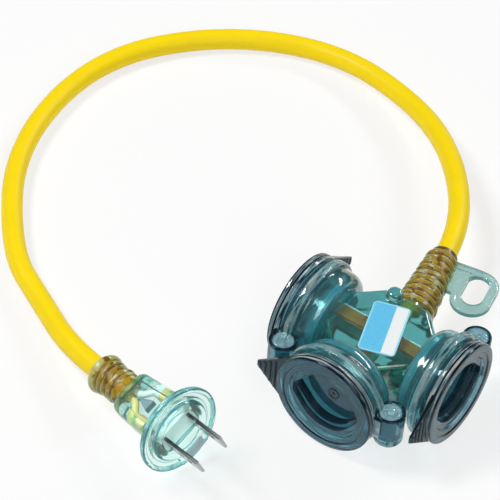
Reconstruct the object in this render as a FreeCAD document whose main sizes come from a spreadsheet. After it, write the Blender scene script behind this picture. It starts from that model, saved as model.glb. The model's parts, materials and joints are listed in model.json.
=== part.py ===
import math
import os
import re

import FreeCAD
import Part
import Sketcher

# A short rain-proof extension cord: a clear tap with three lidded outlet cups, a free
# cord that leaves its ribbed boot, and a round-flanged plug on the cord's other end.
# Millimetres, +Z up, standing on z = 0, the tap in the middle.

Vector = FreeCAD.Vector
Rotation = FreeCAD.Rotation
doc = FreeCAD.newDocument("extension_cord")

SIZES = {
    # where the tap's upright axis stands in the part's frame
    "tap_x": 0.0,
    "tap_y": -10.78,
    # hub: an upright eight-sided block that the three cups and the boot grow out of
    "hub_reach": 19.5,
    "hub_corner": 20.7,
    "hub_half_height": 12.0,
    "hub_edge": 2.5,
    "boss_x": -5.5,
    "boss_y": 16.6,
    "boss_radius": 3.3,
    "boss_height": 2.4,
    "boss_cap": 0.7,
    # outlet cup, measured from the tap's upright axis outwards
    "flange_lip": 2.0,
    "cup_rounding": 6.0,
    "cup_wall": 2.0,
    "cup_side": 3.5,
    "cup_mouth": 32.0,
    "mouth_chamfer": 0.6,
    "flange_radius": 22.5,
    "flange_width": 4.0,
    "flange_edge": 0.9,
    # outlet face and its contacts, for two flat blades
    "face_thickness": 2.5,
    "slot_clearance": 0.45,
    "contact_inner": 5.0,
    "contact_width": 6.4,
    "leaf": 0.8,
    "grip_gap": 1.8,
    "cavity_side": 0.9,
    "cavity_over": 1.1,
    # bars that join the contacts, with a crimp and a conductor each
    "bus_width": 5.0,
    "bus_thickness": 0.8,
    "bus_reach": 9.0,
    "bus_north": 5.0,
    "crimp_radius": 2.2,
    "crimp_bore": 1.15,
    "crimp_length": 5.0,
    "conductor_radius": 1.7,
    # lid: a dished disc with a plug that enters the cup
    "lid_radius": 22.0,
    "lid_height": 6.8,
    "lid_gap": 0.3,
    "lid_step": 1.7,
    "lid_step_width": 1.9,
    "lid_edge": 1.2,
    "lid_plug_gap": 0.7,
    "lid_plug_depth": 2.6,
    "lid_skirt_wall": 2.3,
    "lid_skirt_depth": 0.4,
    "lid_floor": 1.2,
    "dish_radius": 12.5,
    "dish_step": 1.0,
    "dish_ledge": 3.8,
    "dish_bevel": 0.8,
    "face_ring_width": 3.7,
    "face_ring_depth": 0.5,
    "gate_radius": 2.4,
    "gate_height": 0.3,
    # hinge ring and pin at the lid's left edge, seen from the hub
    "hinge_outside": 2.8,
    "hinge_behind": 3.1,
    "ring_radius": 5.9,
    "ring_half_height": 5.8,
    "ring_gap": 0.35,
    "pin_radius": 3.0,
    "pin_clearance": 0.05,
    "pin_head_radius": 4.3,
    "pin_head_height": 1.6,
    "head_gap": 0.2,
    "head_recess_radius": 4.7,
    "head_recess_depth": 2.1,
    "lug_thickness": 3.0,
    "bridge_half_height": 5.0,
    "bridge_thickness": 2.6,
    # pull tab at the lid's other edge, its sides nearly tangent to the lid
    "tab_reach": 10.4,
    "tab_tip_half_height": 1.3,
    "tab_tuck": 0.8,
    "tab_root_back": 0.9,
    "tab_root_inset": 1.5,
    "tab_tip_inset": 2.0,
    "tab_tip_thickness": 1.0,
    "tab_rib_radius": 0.6,
    "tab_rib_pitch": 2.4,
    # cord boot of the tap, which leans to the west
    "boot_lean": 12.5,
    "boot_x": 0.5,
    "boot_y": 20.0,
    "root_radius": 9.4,
    "root_back": 9.0,
    "root_front": 3.0,
    "boot_end": 38.5,
    "boot_base_radius": 7.8,
    "boot_tip_radius": 5.6,
    "boot_rib_radius": 1.05,
    "boot_rib_pitch": 3.3,
    "sheath_back": 1.5,
    # hanging eyelet on the boot's east side
    "eyelet_out": 18.2,
    "eyelet_along": 24.6,
    "eyelet_radius": 8.5,
    "eyelet_length": 8.0,
    "eyelet_hole": 4.4,
    "eyelet_hole_along": 25.7,
    "eyelet_hole_length": 7.2,
    "eyelet_thickness": 3.0,
    "eyelet_web_start": 20.5,
    # bare label plate on the hub's top
    "label_width": 15.0,
    "label_length": 26.8,
    "label_thickness": 0.4,
    "label_corner": 2.0,
    "label_turn": 19.5,
    "label_x": 1.3,
    "label_y": -0.4,
    # cord
    "cord_radius": 4.5,
    # plug: its own frame has +X along the blades, from the face that they leave
    "plug_x": -35.1,
    "plug_y": -81.3,
    "plug_height": 19.3,
    "plug_heading": -12.5,
    "plug_tilt": 9.0,
    "plug_roll": 24.0,
    "blade_spacing": 12.7,
    "blade_width": 6.3,
    "blade_thickness": 1.5,
    "blade_length": 18.0,
    "blade_shank": 12.4,
    "blade_taper": 1.0,
    "blade_hole": 1.5,
    "blade_hole_at": 11.7,
    "plug_flange_radius": 18.3,
    "plug_flange_back": 4.0,
    "plug_flange_front": 0.9,
    "plug_flange_edge": 1.7,
    "plug_rim_edge": 1.1,
    "plug_rim_inner": 15.6,
    "plug_groove": 1.4,
    "plug_nose_radius": 12.4,
    "pad_half_width": 7.0,
    "pad_inner": 9.5,
    "pad_outer": 17.2,
    "panel_half_width": 5.2,
    "panel_inner": 10.6,
    "panel_outer": 16.2,
    "panel_thickness": 0.6,
    "plug_body_back": 31.0,
    "plug_body_wide": 22.5,
    "plug_body_narrow": 18.7,
    "plug_body_thick": 15.0,
    "plug_body_thin": 13.0,
    "plug_body_edge": 4.5,
    "plug_overlap": 1.0,
    "holder_back": 9.5,
    "holder_front": 3.5,
    "holder_half_width": 9.0,
    "holder_half_height": 4.4,
    "plug_crimp_length": 5.0,
    "plug_crimp_radius": 2.1,
    "plug_wire_radius": 1.6,
    "plug_wire_gap": 0.5,
    "plug_sheath_end": 28.0,
    "plug_fork": 3.2,
    "spacer_tip": 24.0,
    "spacer_half_width": 2.6,
    "spacer_half_height": 2.6,
    "plug_boot_end": 48.3,
    "plug_boot_base_radius": 6.1,
    "plug_boot_tip_radius": 6.9,
    "plug_rib_radius": 1.15,
    "plug_rib_pitch": 3.0,
    "plug_collar_radius": 1.7,
    "plug_collar_inset": 0.6,
    "plug_collar_room": 2.2,
}

# the route of the free cord between its two boots, as points it bends round,
# measured from the tap's upright axis and from the surface
CORD_ROUTE = [
    (-38.0, 111.0, 18.0),
    (-72.0, 136.0, 10.0),
    (-122.0, 147.0, 4.55),
    (-169.0, 122.0, 4.55),
    (-200.0, 75.0, 4.55),
    (-193.0, 11.0, 4.55),
    (-155.0, -38.0, 4.55),
    (-127.0, -52.0, 4.55),
]
CORD_LEAD = 20.0
CORD_TAIL = 20.0

sheet = doc.addObject("Spreadsheet::Sheet", "Sizes")
for line, (name, size) in enumerate(SIZES.items(), 1):
    sheet.set(f"A{line}", name)
    sheet.set(f"B{line}", str(size))
    sheet.setAlias(f"B{line}", name)

# sizes that follow from others
DERIVED = {
    "axis_height": "flange_radius",
    "cup_radius": "flange_radius - flange_lip",
    "cup_bore": "cup_radius - cup_side",
    "cup_rear": "hub_reach",
    "seat": "cup_rear + cup_wall",
    "face_front": "seat + face_thickness",
    "flange_rear": "cup_mouth - flange_width",
    "blade_half": "blade_spacing / 2",
    "leaf_in": "blade_half - grip_gap / 2",
    "leaf_out": "blade_half + grip_gap / 2",
    "contact_low": "leaf_in - leaf",
    "contact_top": "leaf_out + leaf",
    "bus_top": "contact_top + bus_thickness",
    "crimp_level": "contact_top + bus_thickness / 2",
    "slot_half_width": "blade_width / 2 + slot_clearance",
    "slot_half_height": "blade_thickness / 2 + slot_clearance",
    "lid_back": "cup_mouth + lid_gap",
    "lid_front": "cup_mouth + lid_height",
    "lid_step_radius": "lid_radius - lid_step",
    "lid_plug_radius": "cup_bore - lid_plug_gap",
    "lid_plug_back": "cup_mouth - lid_plug_depth",
    "lid_plate_back": "lid_plug_back + lid_skirt_depth",
    "lid_plate_front": "lid_plate_back + lid_floor",
    "face_ring_inner": "lid_radius - face_ring_width",
    "hinge_side": "lid_radius + hinge_outside",
    "hinge_reach": "cup_mouth - hinge_behind",
    "tab_tip": "lid_radius + tab_reach",
    "tab_root": "lid_radius * lid_radius / tab_tip",
    "tab_root_half_height": "sqrt(lid_radius * lid_radius - tab_root * tab_root) - tab_tuck",
    "tab_tip_front": "lid_front - tab_tip_inset",
    "tab_root_front": "lid_front - tab_root_inset",
    "ring_room": "ring_radius + ring_gap",
    "ring_room_half": "ring_half_height + ring_gap",
    "lug_bottom": "ring_room_half + lug_thickness",
    "plug_shell_start": "plug_flange_back - plug_overlap",
    "plug_collar_at": "plug_boot_end - plug_collar_radius - plug_collar_inset",
    "plug_rib_start": "plug_boot_end - plug_collar_radius * 2 - plug_collar_room",
}
for line, (name, rule) in enumerate(DERIVED.items(), len(SIZES) + 1):
    sheet.set(f"A{line}", name)
    sheet.set(f"B{line}", f"={rule}")
    sheet.setAlias(f"B{line}", name)
doc.recompute()

ALIAS = re.compile(r"\b(" + "|".join(sorted([*SIZES, *DERIVED], key=len, reverse=True)) + r")\b")
SIDES = {"south": 0, "east": 90, "west": -90}
nodes = []


def cell(rule):
    """The rule as an expression that reads the sheet."""
    return ALIAS.sub(r"Sizes.\1", str(rule))


def value(rule):
    """The rule's number now."""
    return float(sheet.evalExpression(str(rule)))


def bind(thing, prop, rule):
    """Ties one property of a thing to a rule."""
    thing.setExpression(prop, cell(rule))


def put(thing, x="0", y="0", z="0", turn=None):
    """Places a thing at a point given by rules, turned by a fixed rotation."""
    thing.Placement = FreeCAD.Placement(Vector(value(x), value(y), value(z)), turn or Rotation())
    bind(thing, "Placement.Base.x", x)
    bind(thing, "Placement.Base.y", y)
    bind(thing, "Placement.Base.z", z)
    return thing


def box(name, x, y, z):
    """A box from three pairs of rules, low and high."""
    made = doc.addObject("Part::Box", name)
    for prop, (low, high) in zip(("Length", "Width", "Height"), (x, y, z)):
        bind(made, prop, f"({high}) - ({low})")
    return put(made, x[0], y[0], z[0])


AXES = {
    "x": Rotation(Vector(0, 1, 0), 90),
    "y": Rotation(Vector(1, 0, 0), -90),
    "z": Rotation(),
}


def cylinder(name, radius, start, end, axis="z", at=("0", "0")):
    """A cylinder along one axis, from start to end, at a point of the other two."""
    made = doc.addObject("Part::Cylinder", name)
    bind(made, "Radius", radius)
    bind(made, "Height", f"({end}) - ({start})")
    where = {"x": (start, *at), "y": (at[0], start, at[1]), "z": (*at, start)}[axis]
    return put(made, *where, AXES[axis])


def fuse(name, things):
    """One solid of several things."""
    made = doc.addObject("Part::MultiFuse", name)
    made.Shapes = things
    made.Refine = True
    return made


def cut(name, base, tool):
    """A thing less one or more tools."""
    made = doc.addObject("Part::Cut", name)
    made.Base = base
    made.Tool = tool if not isinstance(tool, list) else fuse(f"{name}_tools", tool)
    return made


def node(thing, label):
    """Hands a finished sub-part in under its name."""
    thing.Label = label
    nodes.append(thing)
    return thing


def role(body, name):
    return [part for part in body.Origin.OriginFeatures if part.Role == name][0]


def new_sketch(body, name, plane, offset="0"):
    """A sketch on one of a body's own planes, moved off it by a rule."""
    sketch = body.newObject("Sketcher::SketchObject", name)
    sketch.AttachmentSupport = [(role(body, plane), "")]
    sketch.MapMode = "FlatFace"
    sketch.AttachmentOffset = FreeCAD.Placement(Vector(0, 0, value(offset)), Rotation())
    bind(sketch, "AttachmentOffset.Base.z", offset)
    return sketch


def corners(sketch, points):
    """A closed outline whose corners are pairs of rules."""
    spots = [Vector(value(a), value(b), 0) for a, b in points]
    first = sketch.GeometryCount
    count = len(points)
    for n in range(count):
        sketch.addGeometry(Part.LineSegment(spots[n], spots[(n + 1) % count]), False)
    for n in range(count):
        joined = first + (n + 1) % count
        sketch.addConstraint(Sketcher.Constraint("Coincident", first + n, 2, joined, 1))
    for n, pair in enumerate(points):
        for kind, rule in zip(("DistanceX", "DistanceY"), pair):
            tie = sketch.addConstraint(Sketcher.Constraint(kind, -1, 1, first + n, 1, value(rule)))
            bind(sketch, f"Constraints[{tie}]", rule)


def rectangle(sketch, low_x, high_x, low_y, high_y):
    corners(sketch, [(low_x, low_y), (high_x, low_y), (high_x, high_y), (low_x, high_y)])


def hole(sketch, radius, x="0", y="0"):
    """A circle of a sketch at a point given by rules."""
    spot = Vector(value(x), value(y), 0)
    ring = sketch.addGeometry(Part.Circle(spot, Vector(0, 0, 1), value(radius)), False)
    for kind, rule in (("DistanceX", x), ("DistanceY", y)):
        tie = sketch.addConstraint(Sketcher.Constraint(kind, -1, 1, ring, 3, value(rule)))
        bind(sketch, f"Constraints[{tie}]", rule)
    tie = sketch.addConstraint(Sketcher.Constraint("Radius", ring, value(radius)))
    bind(sketch, f"Constraints[{tie}]", radius)


def turned(name, plane, axis, points):
    """A body turned from an outline about its sketch's own axis."""
    body = doc.addObject("PartDesign::Body", name)
    sketch = new_sketch(body, f"{name}_outline", plane)
    corners(sketch, points)
    turn = body.newObject("PartDesign::Revolution", f"{name}_turn")
    turn.Profile = sketch
    turn.ReferenceAxis = (sketch, [axis])
    turn.Angle = 360
    doc.recompute()
    return body


def padded(name, plane, points, depth, offset="0", both_ways=False):
    """A body pushed out of an outline."""
    body = doc.addObject("PartDesign::Body", name)
    sketch = new_sketch(body, f"{name}_outline", plane, offset)
    corners(sketch, points)
    pad = body.newObject("PartDesign::Pad", f"{name}_pad")
    pad.Profile = sketch
    pad.Midplane = both_ways
    bind(pad, "Length", depth)
    doc.recompute()
    return body


def post(name, radius, start, end, axis="z", at=("0", "0")):
    """A round post as a body, from start to end along one axis."""
    body = doc.addObject("PartDesign::Body", name)
    sketch = new_sketch(body, f"{name}_outline", {"x": "YZ_Plane", "z": "XY_Plane"}[axis], start)
    hole(sketch, radius, *at)
    pad = body.newObject("PartDesign::Pad", f"{name}_pad")
    pad.Profile = sketch
    bind(pad, "Length", f"({end}) - ({start})")
    doc.recompute()
    return body


def round_off(body, radius, wanted):
    """Rounds the body's edges that a test picks."""
    before = body.Tip
    picked = [f"Edge{n}" for n, edge in enumerate(before.Shape.Edges, 1) if wanted(edge)]
    rounding = body.newObject("PartDesign::Fillet", f"{body.Name}_rounding_{len(body.Group)}")
    rounding.Base = (before, picked)
    bind(rounding, "Radius", radius)
    body.Tip = rounding
    doc.recompute()


def near(number, rule):
    return abs(number - value(rule)) < 1e-4


def ring_edge(radius, along, axis):
    """A test for a full round edge of a radius at a place along an axis."""
    def wanted(edge):
        if not isinstance(edge.Curve, Part.Circle):
            return False
        return near(edge.Curve.Radius, radius) and near(getattr(edge.Curve.Center, axis), along)
    return wanted


def in_tap(thing, side="south"):
    """Stands a piece of the tap in its place, turned to one side."""
    return put(thing, "tap_x", "tap_y", "axis_height", Rotation(Vector(0, 0, 1), SIDES[side]))


def in_boot(thing):
    """Lays a piece made along +Z on the boot's axis."""
    lean = math.radians(value("boot_lean"))
    along = Vector(-math.sin(lean), math.cos(lean), 0)
    turn = Rotation(Vector(math.cos(lean), math.sin(lean), 0), Vector(0, 0, 1), along, "ZXY")
    return put(thing, "tap_x + boot_x", "tap_y + boot_y", "axis_height", turn)


def in_plug(thing, first=None):
    """Lays a piece made in the plug's own frame where the plug lies."""
    turn = Rotation(Vector(0, 0, 1), value("plug_heading"))
    turn = turn.multiply(Rotation(Vector(0, 1, 0), -value("plug_tilt")))
    turn = turn.multiply(Rotation(Vector(1, 0, 0), value("plug_roll")))
    turn = turn.multiply(first or Rotation())
    return put(thing, "tap_x + plug_x", "tap_y + plug_y", "plug_height", turn)


def bend_path(points):
    """Straight runs joined by tangent arcs, and the arcs' radii."""
    edges = []
    radii = []
    at = points[0]
    for before, corner, after in zip(points, points[1:], points[2:]):
        back = before - corner
        ahead = after - corner
        shorter = min(back.Length, ahead.Length)
        back.normalize()
        ahead.normalize()
        half_turn = (math.pi - back.getAngle(ahead)) / 2
        radius = 0.45 * shorter / math.tan(half_turn)
        reach = 0.45 * shorter
        start = corner + back * reach
        end = corner + ahead * reach
        middle_way = back + ahead
        middle_way.normalize()
        middle = corner + middle_way * (radius / math.cos(half_turn) - radius)
        edges.append(Part.LineSegment(at, start).toShape())
        edges.append(Part.Arc(start, middle, end).toShape())
        radii.append(radius)
        at = end
    edges.append(Part.LineSegment(at, points[-1]).toShape())
    return Part.Wire(edges), radii


def tube(name, points, radius):
    """A round tube along runs and arcs, its volume checked against its length."""
    path, radii = bend_path(points)
    start = Part.Circle(points[0], points[1] - points[0], radius)
    solid = path.makePipeShell([Part.Wire(start.toShape())], True, False)
    wanted = math.pi * radius ** 2 * path.Length
    if abs(solid.Volume / wanted - 1) > 0.002:
        raise ValueError(f"{name}: volume {solid.Volume:.1f}, section times length {wanted:.1f}")
    made = doc.addObject("Part::Feature", name)
    made.Shape = solid
    print(name, "length", round(path.Length, 1), "radii", [round(r, 1) for r in radii])
    return made


def outlet_cup(side):
    """A round cup with a flange, blade windows, and the lug that holds the lid's pin."""
    name = f"cup_{side}"
    body = turned(name, "XY_Plane", "V_Axis", [
        ("0", "-cup_rear"),
        ("cup_radius", "-cup_rear"),
        ("cup_radius", "-flange_rear"),
        ("flange_radius", "-flange_rear"),
        ("flange_radius", "-cup_mouth"),
        ("cup_bore + mouth_chamfer", "-cup_mouth"),
        ("cup_bore", "-(cup_mouth - mouth_chamfer)"),
        ("cup_bore", "-seat"),
        ("0", "-seat"),
    ])
    round_off(body, "cup_rounding", ring_edge("cup_radius", "-cup_rear", "y"))
    for edge in ("-flange_rear", "-cup_mouth"):
        round_off(body, "flange_edge", ring_edge("flange_radius", edge, "y"))
    lug = cylinder(f"{name}_lug", "ring_radius", "-lug_bottom", "-ring_room_half", "z",
                   ("hinge_side", "-hinge_reach"))
    web = box(f"{name}_web", ("cup_bore + 1", "hinge_side"),
              ("-(cup_mouth - 0.5)", "-(hinge_reach - ring_radius * 0.8)"),
              ("-lug_bottom", "-ring_room_half"))
    room = cylinder(f"{name}_room", "ring_room", "-ring_room_half", "ring_room_half", "z",
                    ("hinge_side", "-hinge_reach"))
    seat = cylinder(f"{name}_pin_seat", "pin_radius", "-lug_bottom - 1", "ring_room_half", "z",
                    ("hinge_side", "-hinge_reach"))
    windows = [
        box(f"{name}_window_{level}", ("-slot_half_width", "slot_half_width"),
            ("-seat - 1", "-cup_rear + 1"),
            (f"{sign}blade_half - slot_half_height", f"{sign}blade_half + slot_half_height"))
        for level, sign in (("upper", ""), ("lower", "-"))
    ]
    outer = fuse(f"{name}_outer", [body, lug, web])
    bore = cylinder(f"{name}_bore", "cup_bore", "-cup_mouth - 1", "-seat", "y")
    made = cut(f"{name}_cut", outer, [room, seat, bore, *windows])
    node(in_tap(made, side), f"outlet_cup_{side}")


def outlet_face(side):
    """The disc at the bottom of a cup, with two slots for flat blades."""
    disc = cylinder(f"face_{side}_disc", "cup_bore", "-face_front", "-seat", "y")
    slots = [
        box(f"face_{side}_slot_{level}", ("-slot_half_width", "slot_half_width"),
            ("-face_front - 1", "-seat + 1"),
            (f"{sign}blade_half - slot_half_height", f"{sign}blade_half + slot_half_height"))
        for level, sign in (("upper", ""), ("lower", "-"))
    ]
    node(in_tap(cut(f"face_{side}", disc, slots), side), f"outlet_face_{side}")


def contact(side, level):
    """A folded strip whose two leaves grip a blade; the fold faces the hub's middle."""
    sign = "" if level == "upper" else "-"
    body = padded(f"contact_{side}_{level}", "YZ_Plane", [
        ("-hub_reach", f"{sign}contact_low"),
        ("-contact_inner", f"{sign}contact_low"),
        ("-contact_inner", f"{sign}contact_top"),
        ("-hub_reach", f"{sign}contact_top"),
        ("-hub_reach", f"{sign}leaf_out"),
        ("-(contact_inner + leaf)", f"{sign}leaf_out"),
        ("-(contact_inner + leaf)", f"{sign}leaf_in"),
        ("-hub_reach", f"{sign}leaf_in"),
    ], "contact_width", both_ways=True)
    node(in_tap(body, side), f"{level}_contact_{side}")


def contact_room(side):
    """The hollows in the hub for one outlet's two contacts."""
    half = "(contact_width / 2 + cavity_side)"
    rooms = [
        box(f"room_{side}_{level}", (f"-{half}", half), ("-hub_reach - 1", "-contact_inner"),
            ("contact_low", "contact_top + cavity_over") if level == "upper"
            else ("-contact_top - cavity_over", "-contact_low"))
        for level in ("upper", "lower")
    ]
    return in_tap(fuse(f"rooms_{side}", rooms), side)


def bus(level):
    """The flat cross bar that joins the three contacts of one pole."""
    z = ("contact_top", "bus_top") if level == "upper" else ("-bus_top", "-contact_top")
    half = "(bus_width / 2)"
    across = box(f"bus_{level}_across", ("-bus_reach", "bus_reach"), (f"-{half}", half), z)
    along = box(f"bus_{level}_along", (f"-{half}", half), ("-bus_reach", "bus_north"), z)
    return node(in_tap(fuse(f"bus_{level}", [across, along])), f"{level}_bus")


def crimp(level):
    """The sleeve at a bar's north end that grips a conductor's bare end."""
    z = "crimp_level" if level == "upper" else "-crimp_level"
    end = "bus_north + crimp_length"
    sleeve = cylinder(f"crimp_{level}_sleeve", "crimp_radius", "bus_north", end, "y", ("0", z))
    bore = cylinder(f"crimp_{level}_bore", "crimp_bore", "bus_north + leaf", f"{end} + 1", "y",
                    ("0", z))
    return node(in_tap(cut(f"crimp_{level}", sleeve, bore)), f"{level}_crimp")


def tap_point(x, y, z):
    """A point of the tap, given from its upright axis at the outlets' height."""
    return Vector(value("tap_x") + x, value("tap_y") + y, value("axis_height") + z)


def boot_point(along):
    """A point on the boot's axis."""
    lean = math.radians(value("boot_lean"))
    x = value("boot_x") - along * math.sin(lean)
    y = value("boot_y") + along * math.cos(lean)
    return tap_point(x, y, 0)


def tap_conductor(level):
    """An insulated conductor from its crimp down to the end of the sheath."""
    sign = 1 if level == "upper" else -1
    start = tap_point(0, value("bus_north + crimp_length"), sign * value("crimp_level"))
    end = boot_point(-value("sheath_back"))
    end.z += sign * value("cord_radius") * 0.45
    step = (end.y - start.y) * 0.42
    lean = math.radians(value("boot_lean"))
    before_end = end - Vector(-math.sin(lean), math.cos(lean), 0) * step
    middle = [start + Vector(0, step, 0), before_end]
    insulation = tube(f"conductor_{level}_cover", [start, *middle, end], value("conductor_radius"))
    z = "tap_y + bus_north"
    level_z = "axis_height + crimp_level" if sign > 0 else "axis_height - crimp_level"
    bare = cylinder(f"conductor_{level}_bare", "crimp_bore", f"{z} + leaf",
                    f"{z} + crimp_length + 0.5", "y", ("tap_x", level_z))
    return node(fuse(f"conductor_{level}", [insulation, bare]), f"{level}_conductor")


def hub(buried):
    """The clear block in the middle, with rooms for what is buried in it."""
    corner = "(hub_corner * sqrt(2) - hub_reach)"
    body = padded("hub_block", "XY_Plane", [
        ("hub_reach", f"-{corner}"),
        ("hub_reach", corner),
        (corner, "hub_reach"),
        (f"-{corner}", "hub_reach"),
        ("-hub_reach", corner),
        ("-hub_reach", f"-{corner}"),
        (f"-{corner}", "-hub_reach"),
        (corner, "-hub_reach"),
    ], "hub_half_height * 2", both_ways=True)
    level = "hub_half_height"
    round_off(body, "hub_edge", lambda edge: all(near(abs(v.Z), level) for v in edge.Vertexes))
    in_tap(body)
    root = in_boot(post("root", "root_radius", "-root_back", "root_front"))
    at = ("boss_x", "boss_y")
    top = "hub_half_height + boss_height"
    boss = in_tap(fuse("boss", [
        cylinder("boss_post", "boss_radius", "hub_half_height / 2", top, "z", at),
        cylinder("boss_cap", "boss_radius * 0.7", "hub_half_height", f"{top} + boss_cap", "z", at),
    ]))
    outer = fuse("hub_outer", [body, root, boss])
    rooms = [contact_room(side) for side in SIDES]
    node(cut("hub", outer, fuse("hub_rooms", rooms + buried)), "tap_hub")


def lid(side):
    """A dished lid with its plug, hinge ring and ridged pull tab."""
    name = f"cap_{side}"
    body = turned(name, "XY_Plane", "V_Axis", [
        ("0", "-lid_plate_back"),
        ("lid_plug_radius - lid_skirt_wall", "-lid_plate_back"),
        ("lid_plug_radius - lid_skirt_wall", "-lid_plug_back"),
        ("lid_plug_radius", "-lid_plug_back"),
        ("lid_plug_radius", "-lid_back"),
        ("lid_step_radius", "-lid_back"),
        ("lid_step_radius", "-(lid_back + lid_step_width)"),
        ("lid_radius", "-(lid_back + lid_step_width)"),
        ("lid_radius", "-lid_front"),
        ("face_ring_inner", "-lid_front"),
        ("face_ring_inner", "-(lid_front - face_ring_depth)"),
        ("dish_radius + dish_step + dish_bevel", "-(lid_front - face_ring_depth)"),
        ("dish_radius + dish_step", "-(lid_front - face_ring_depth - dish_bevel * 1.6)"),
        ("dish_radius + dish_step", "-(lid_plate_front + dish_ledge)"),
        ("dish_radius", "-(lid_plate_front + dish_ledge)"),
        ("dish_radius", "-lid_plate_front"),
        ("gate_radius", "-lid_plate_front"),
        ("gate_radius", "-(lid_plate_front + gate_height)"),
        ("0", "-(lid_plate_front + gate_height)"),
    ])
    round_off(body, "lid_edge", ring_edge("lid_radius", "-lid_front", "y"))
    round_off(body, "lid_edge / 2", ring_edge("lid_radius", "-(lid_back + lid_step_width)", "y"))
    tab = doc.addObject("PartDesign::Body", f"{name}_tab")
    root = new_sketch(tab, f"{name}_tab_root", "YZ_Plane", "-tab_root")
    rectangle(root, "-tab_root_front", "-(lid_back + lid_step_width + tab_root_back)",
              "-tab_root_half_height", "tab_root_half_height")
    tip = new_sketch(tab, f"{name}_tab_tip", "YZ_Plane", "-tab_tip")
    rectangle(tip, "-tab_tip_front", "-(tab_tip_front - tab_tip_thickness)",
              "-tab_tip_half_height", "tab_tip_half_height")
    loft = tab.newObject("PartDesign::AdditiveLoft", f"{name}_tab_loft")
    loft.Profile = root
    loft.Sections = [tip]
    doc.recompute()
    ribs = []
    for count in range(4):
        inward = f"(tab_rib_pitch * {count + 0.6} / (tab_tip - tab_root))"
        half = f"(tab_tip_half_height + (tab_root_half_height - tab_tip_half_height) * {inward} - 0.9)"
        front = f"-(tab_tip_front + (tab_root_front - tab_tip_front) * {inward})"
        ribs.append(cylinder(f"{name}_rib_{count}", "tab_rib_radius", f"-{half}", half, "z",
                             (f"-(tab_tip - tab_rib_pitch * {count + 0.6})", front)))
    ring = cylinder(f"{name}_ring", "ring_radius", "-ring_half_height", "ring_half_height", "z",
                    ("hinge_side", "-hinge_reach"))
    bridge = box(f"{name}_bridge", ("lid_step_radius - 2", "hinge_side"),
                 ("-(lid_back + 0.7 + bridge_thickness)", "-(lid_back + 0.7)"),
                 ("-bridge_half_height", "bridge_half_height"))
    outer = fuse(f"{name}_outer", [body, tab, *ribs, ring, bridge])
    bore = cylinder(f"{name}_bore", "pin_radius + pin_clearance", "-ring_half_height - 1",
                    "ring_half_height + 1", "z", ("hinge_side", "-hinge_reach"))
    recess = cylinder(f"{name}_recess", "head_recess_radius", "ring_half_height - head_recess_depth",
                      "ring_half_height + 1", "z", ("hinge_side", "-hinge_reach"))
    node(in_tap(cut(f"{name}_cut", outer, [bore, recess]), side), f"lid_{side}")


def hinge_pin(side):
    """The headed pin that stands in the cup's lug and carries the lid's ring."""
    at = ("hinge_side", "-hinge_reach")
    low = "ring_half_height - head_recess_depth + head_gap"
    shank = cylinder(f"pin_{side}_shank", "pin_radius", "-lug_bottom", low, "z", at)
    head = cylinder(f"pin_{side}_head", "pin_head_radius", low, f"{low} + pin_head_height", "z", at)
    node(in_tap(fuse(f"pin_{side}", [shank, head]), side), f"hinge_pin_{side}")


def ribbed(name, base_radius, tip_radius, start, end, first, pitch, count, rib_radius, extra=()):
    """A tapered core with round ribs, along +Z."""
    core = doc.addObject("Part::Cone", f"{name}_core")
    bind(core, "Radius1", base_radius)
    bind(core, "Radius2", tip_radius)
    bind(core, "Height", f"({end}) - ({start})")
    put(core, "0", "0", start)
    ribs = list(extra)
    for number in range(count):
        z = f"({first}) + ({pitch}) * {number}"
        share = f"((({z}) - ({start})) / (({end}) - ({start})))"
        rib = doc.addObject("Part::Torus", f"{name}_rib_{number}")
        bind(rib, "Radius1", f"({base_radius}) + (({tip_radius}) - ({base_radius})) * {share}")
        bind(rib, "Radius2", rib_radius)
        put(rib, "0", "0", z)
        ribs.append(rib)
    return fuse(f"{name}_ribbed", [core, *ribs])


def tap_boot(sheath_tool):
    """The tap's ribbed boot and the eyelet on its east side."""
    outer = in_boot(ribbed("tap_boot", "boot_base_radius", "boot_tip_radius", "root_front", "boot_end",
                           "root_front + 2.2", "boot_rib_pitch", 10, "boot_rib_radius"))
    node(cut("tap_boot", outer, sheath_tool), "tap_boot")
    flat = ("-eyelet_thickness / 2", "eyelet_thickness / 2")
    through = ("-eyelet_thickness", "eyelet_thickness")
    ring = []
    gap = []
    for way, sign in (("near", "-"), ("far", "+")):
        at = ("eyelet_out", f"eyelet_along {sign} eyelet_length / 2")
        ring.append(cylinder(f"eyelet_ring_{way}", "eyelet_radius", *flat, "z", at))
        at = ("eyelet_out", f"eyelet_hole_along {sign} eyelet_hole_length / 2")
        gap.append(cylinder(f"eyelet_gap_{way}", "eyelet_hole", *through, "z", at))
    ring.append(box("eyelet_ring_middle",
                    ("eyelet_out - eyelet_radius", "eyelet_out + eyelet_radius"),
                    ("eyelet_along - eyelet_length / 2", "eyelet_along + eyelet_length / 2"), flat))
    gap.append(box("eyelet_gap_middle", ("eyelet_out - eyelet_hole", "eyelet_out + eyelet_hole"),
                   ("eyelet_hole_along - eyelet_hole_length / 2",
                    "eyelet_hole_along + eyelet_hole_length / 2"), through))
    ring.append(box("eyelet_web", ("cord_radius", "eyelet_out"),
                    ("eyelet_web_start", "eyelet_along + eyelet_length / 2 + eyelet_radius"), flat))
    plate = cut("eyelet_plate", fuse("eyelet_ring", ring), fuse("eyelet_gap", gap))
    lean = Rotation(Vector(0, 0, 1), value("boot_lean"))
    put(plate, "tap_x + boot_x", "tap_y + boot_y", "axis_height", lean)
    node(cut("eyelet", plate, outer), "hanging_eyelet")


def tap_sheath():
    """The cord's yellow sheath inside the boot and the hub."""
    return node(in_boot(post("sheath", "cord_radius", "-sheath_back", "boot_end")), "tap_sheath")


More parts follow.
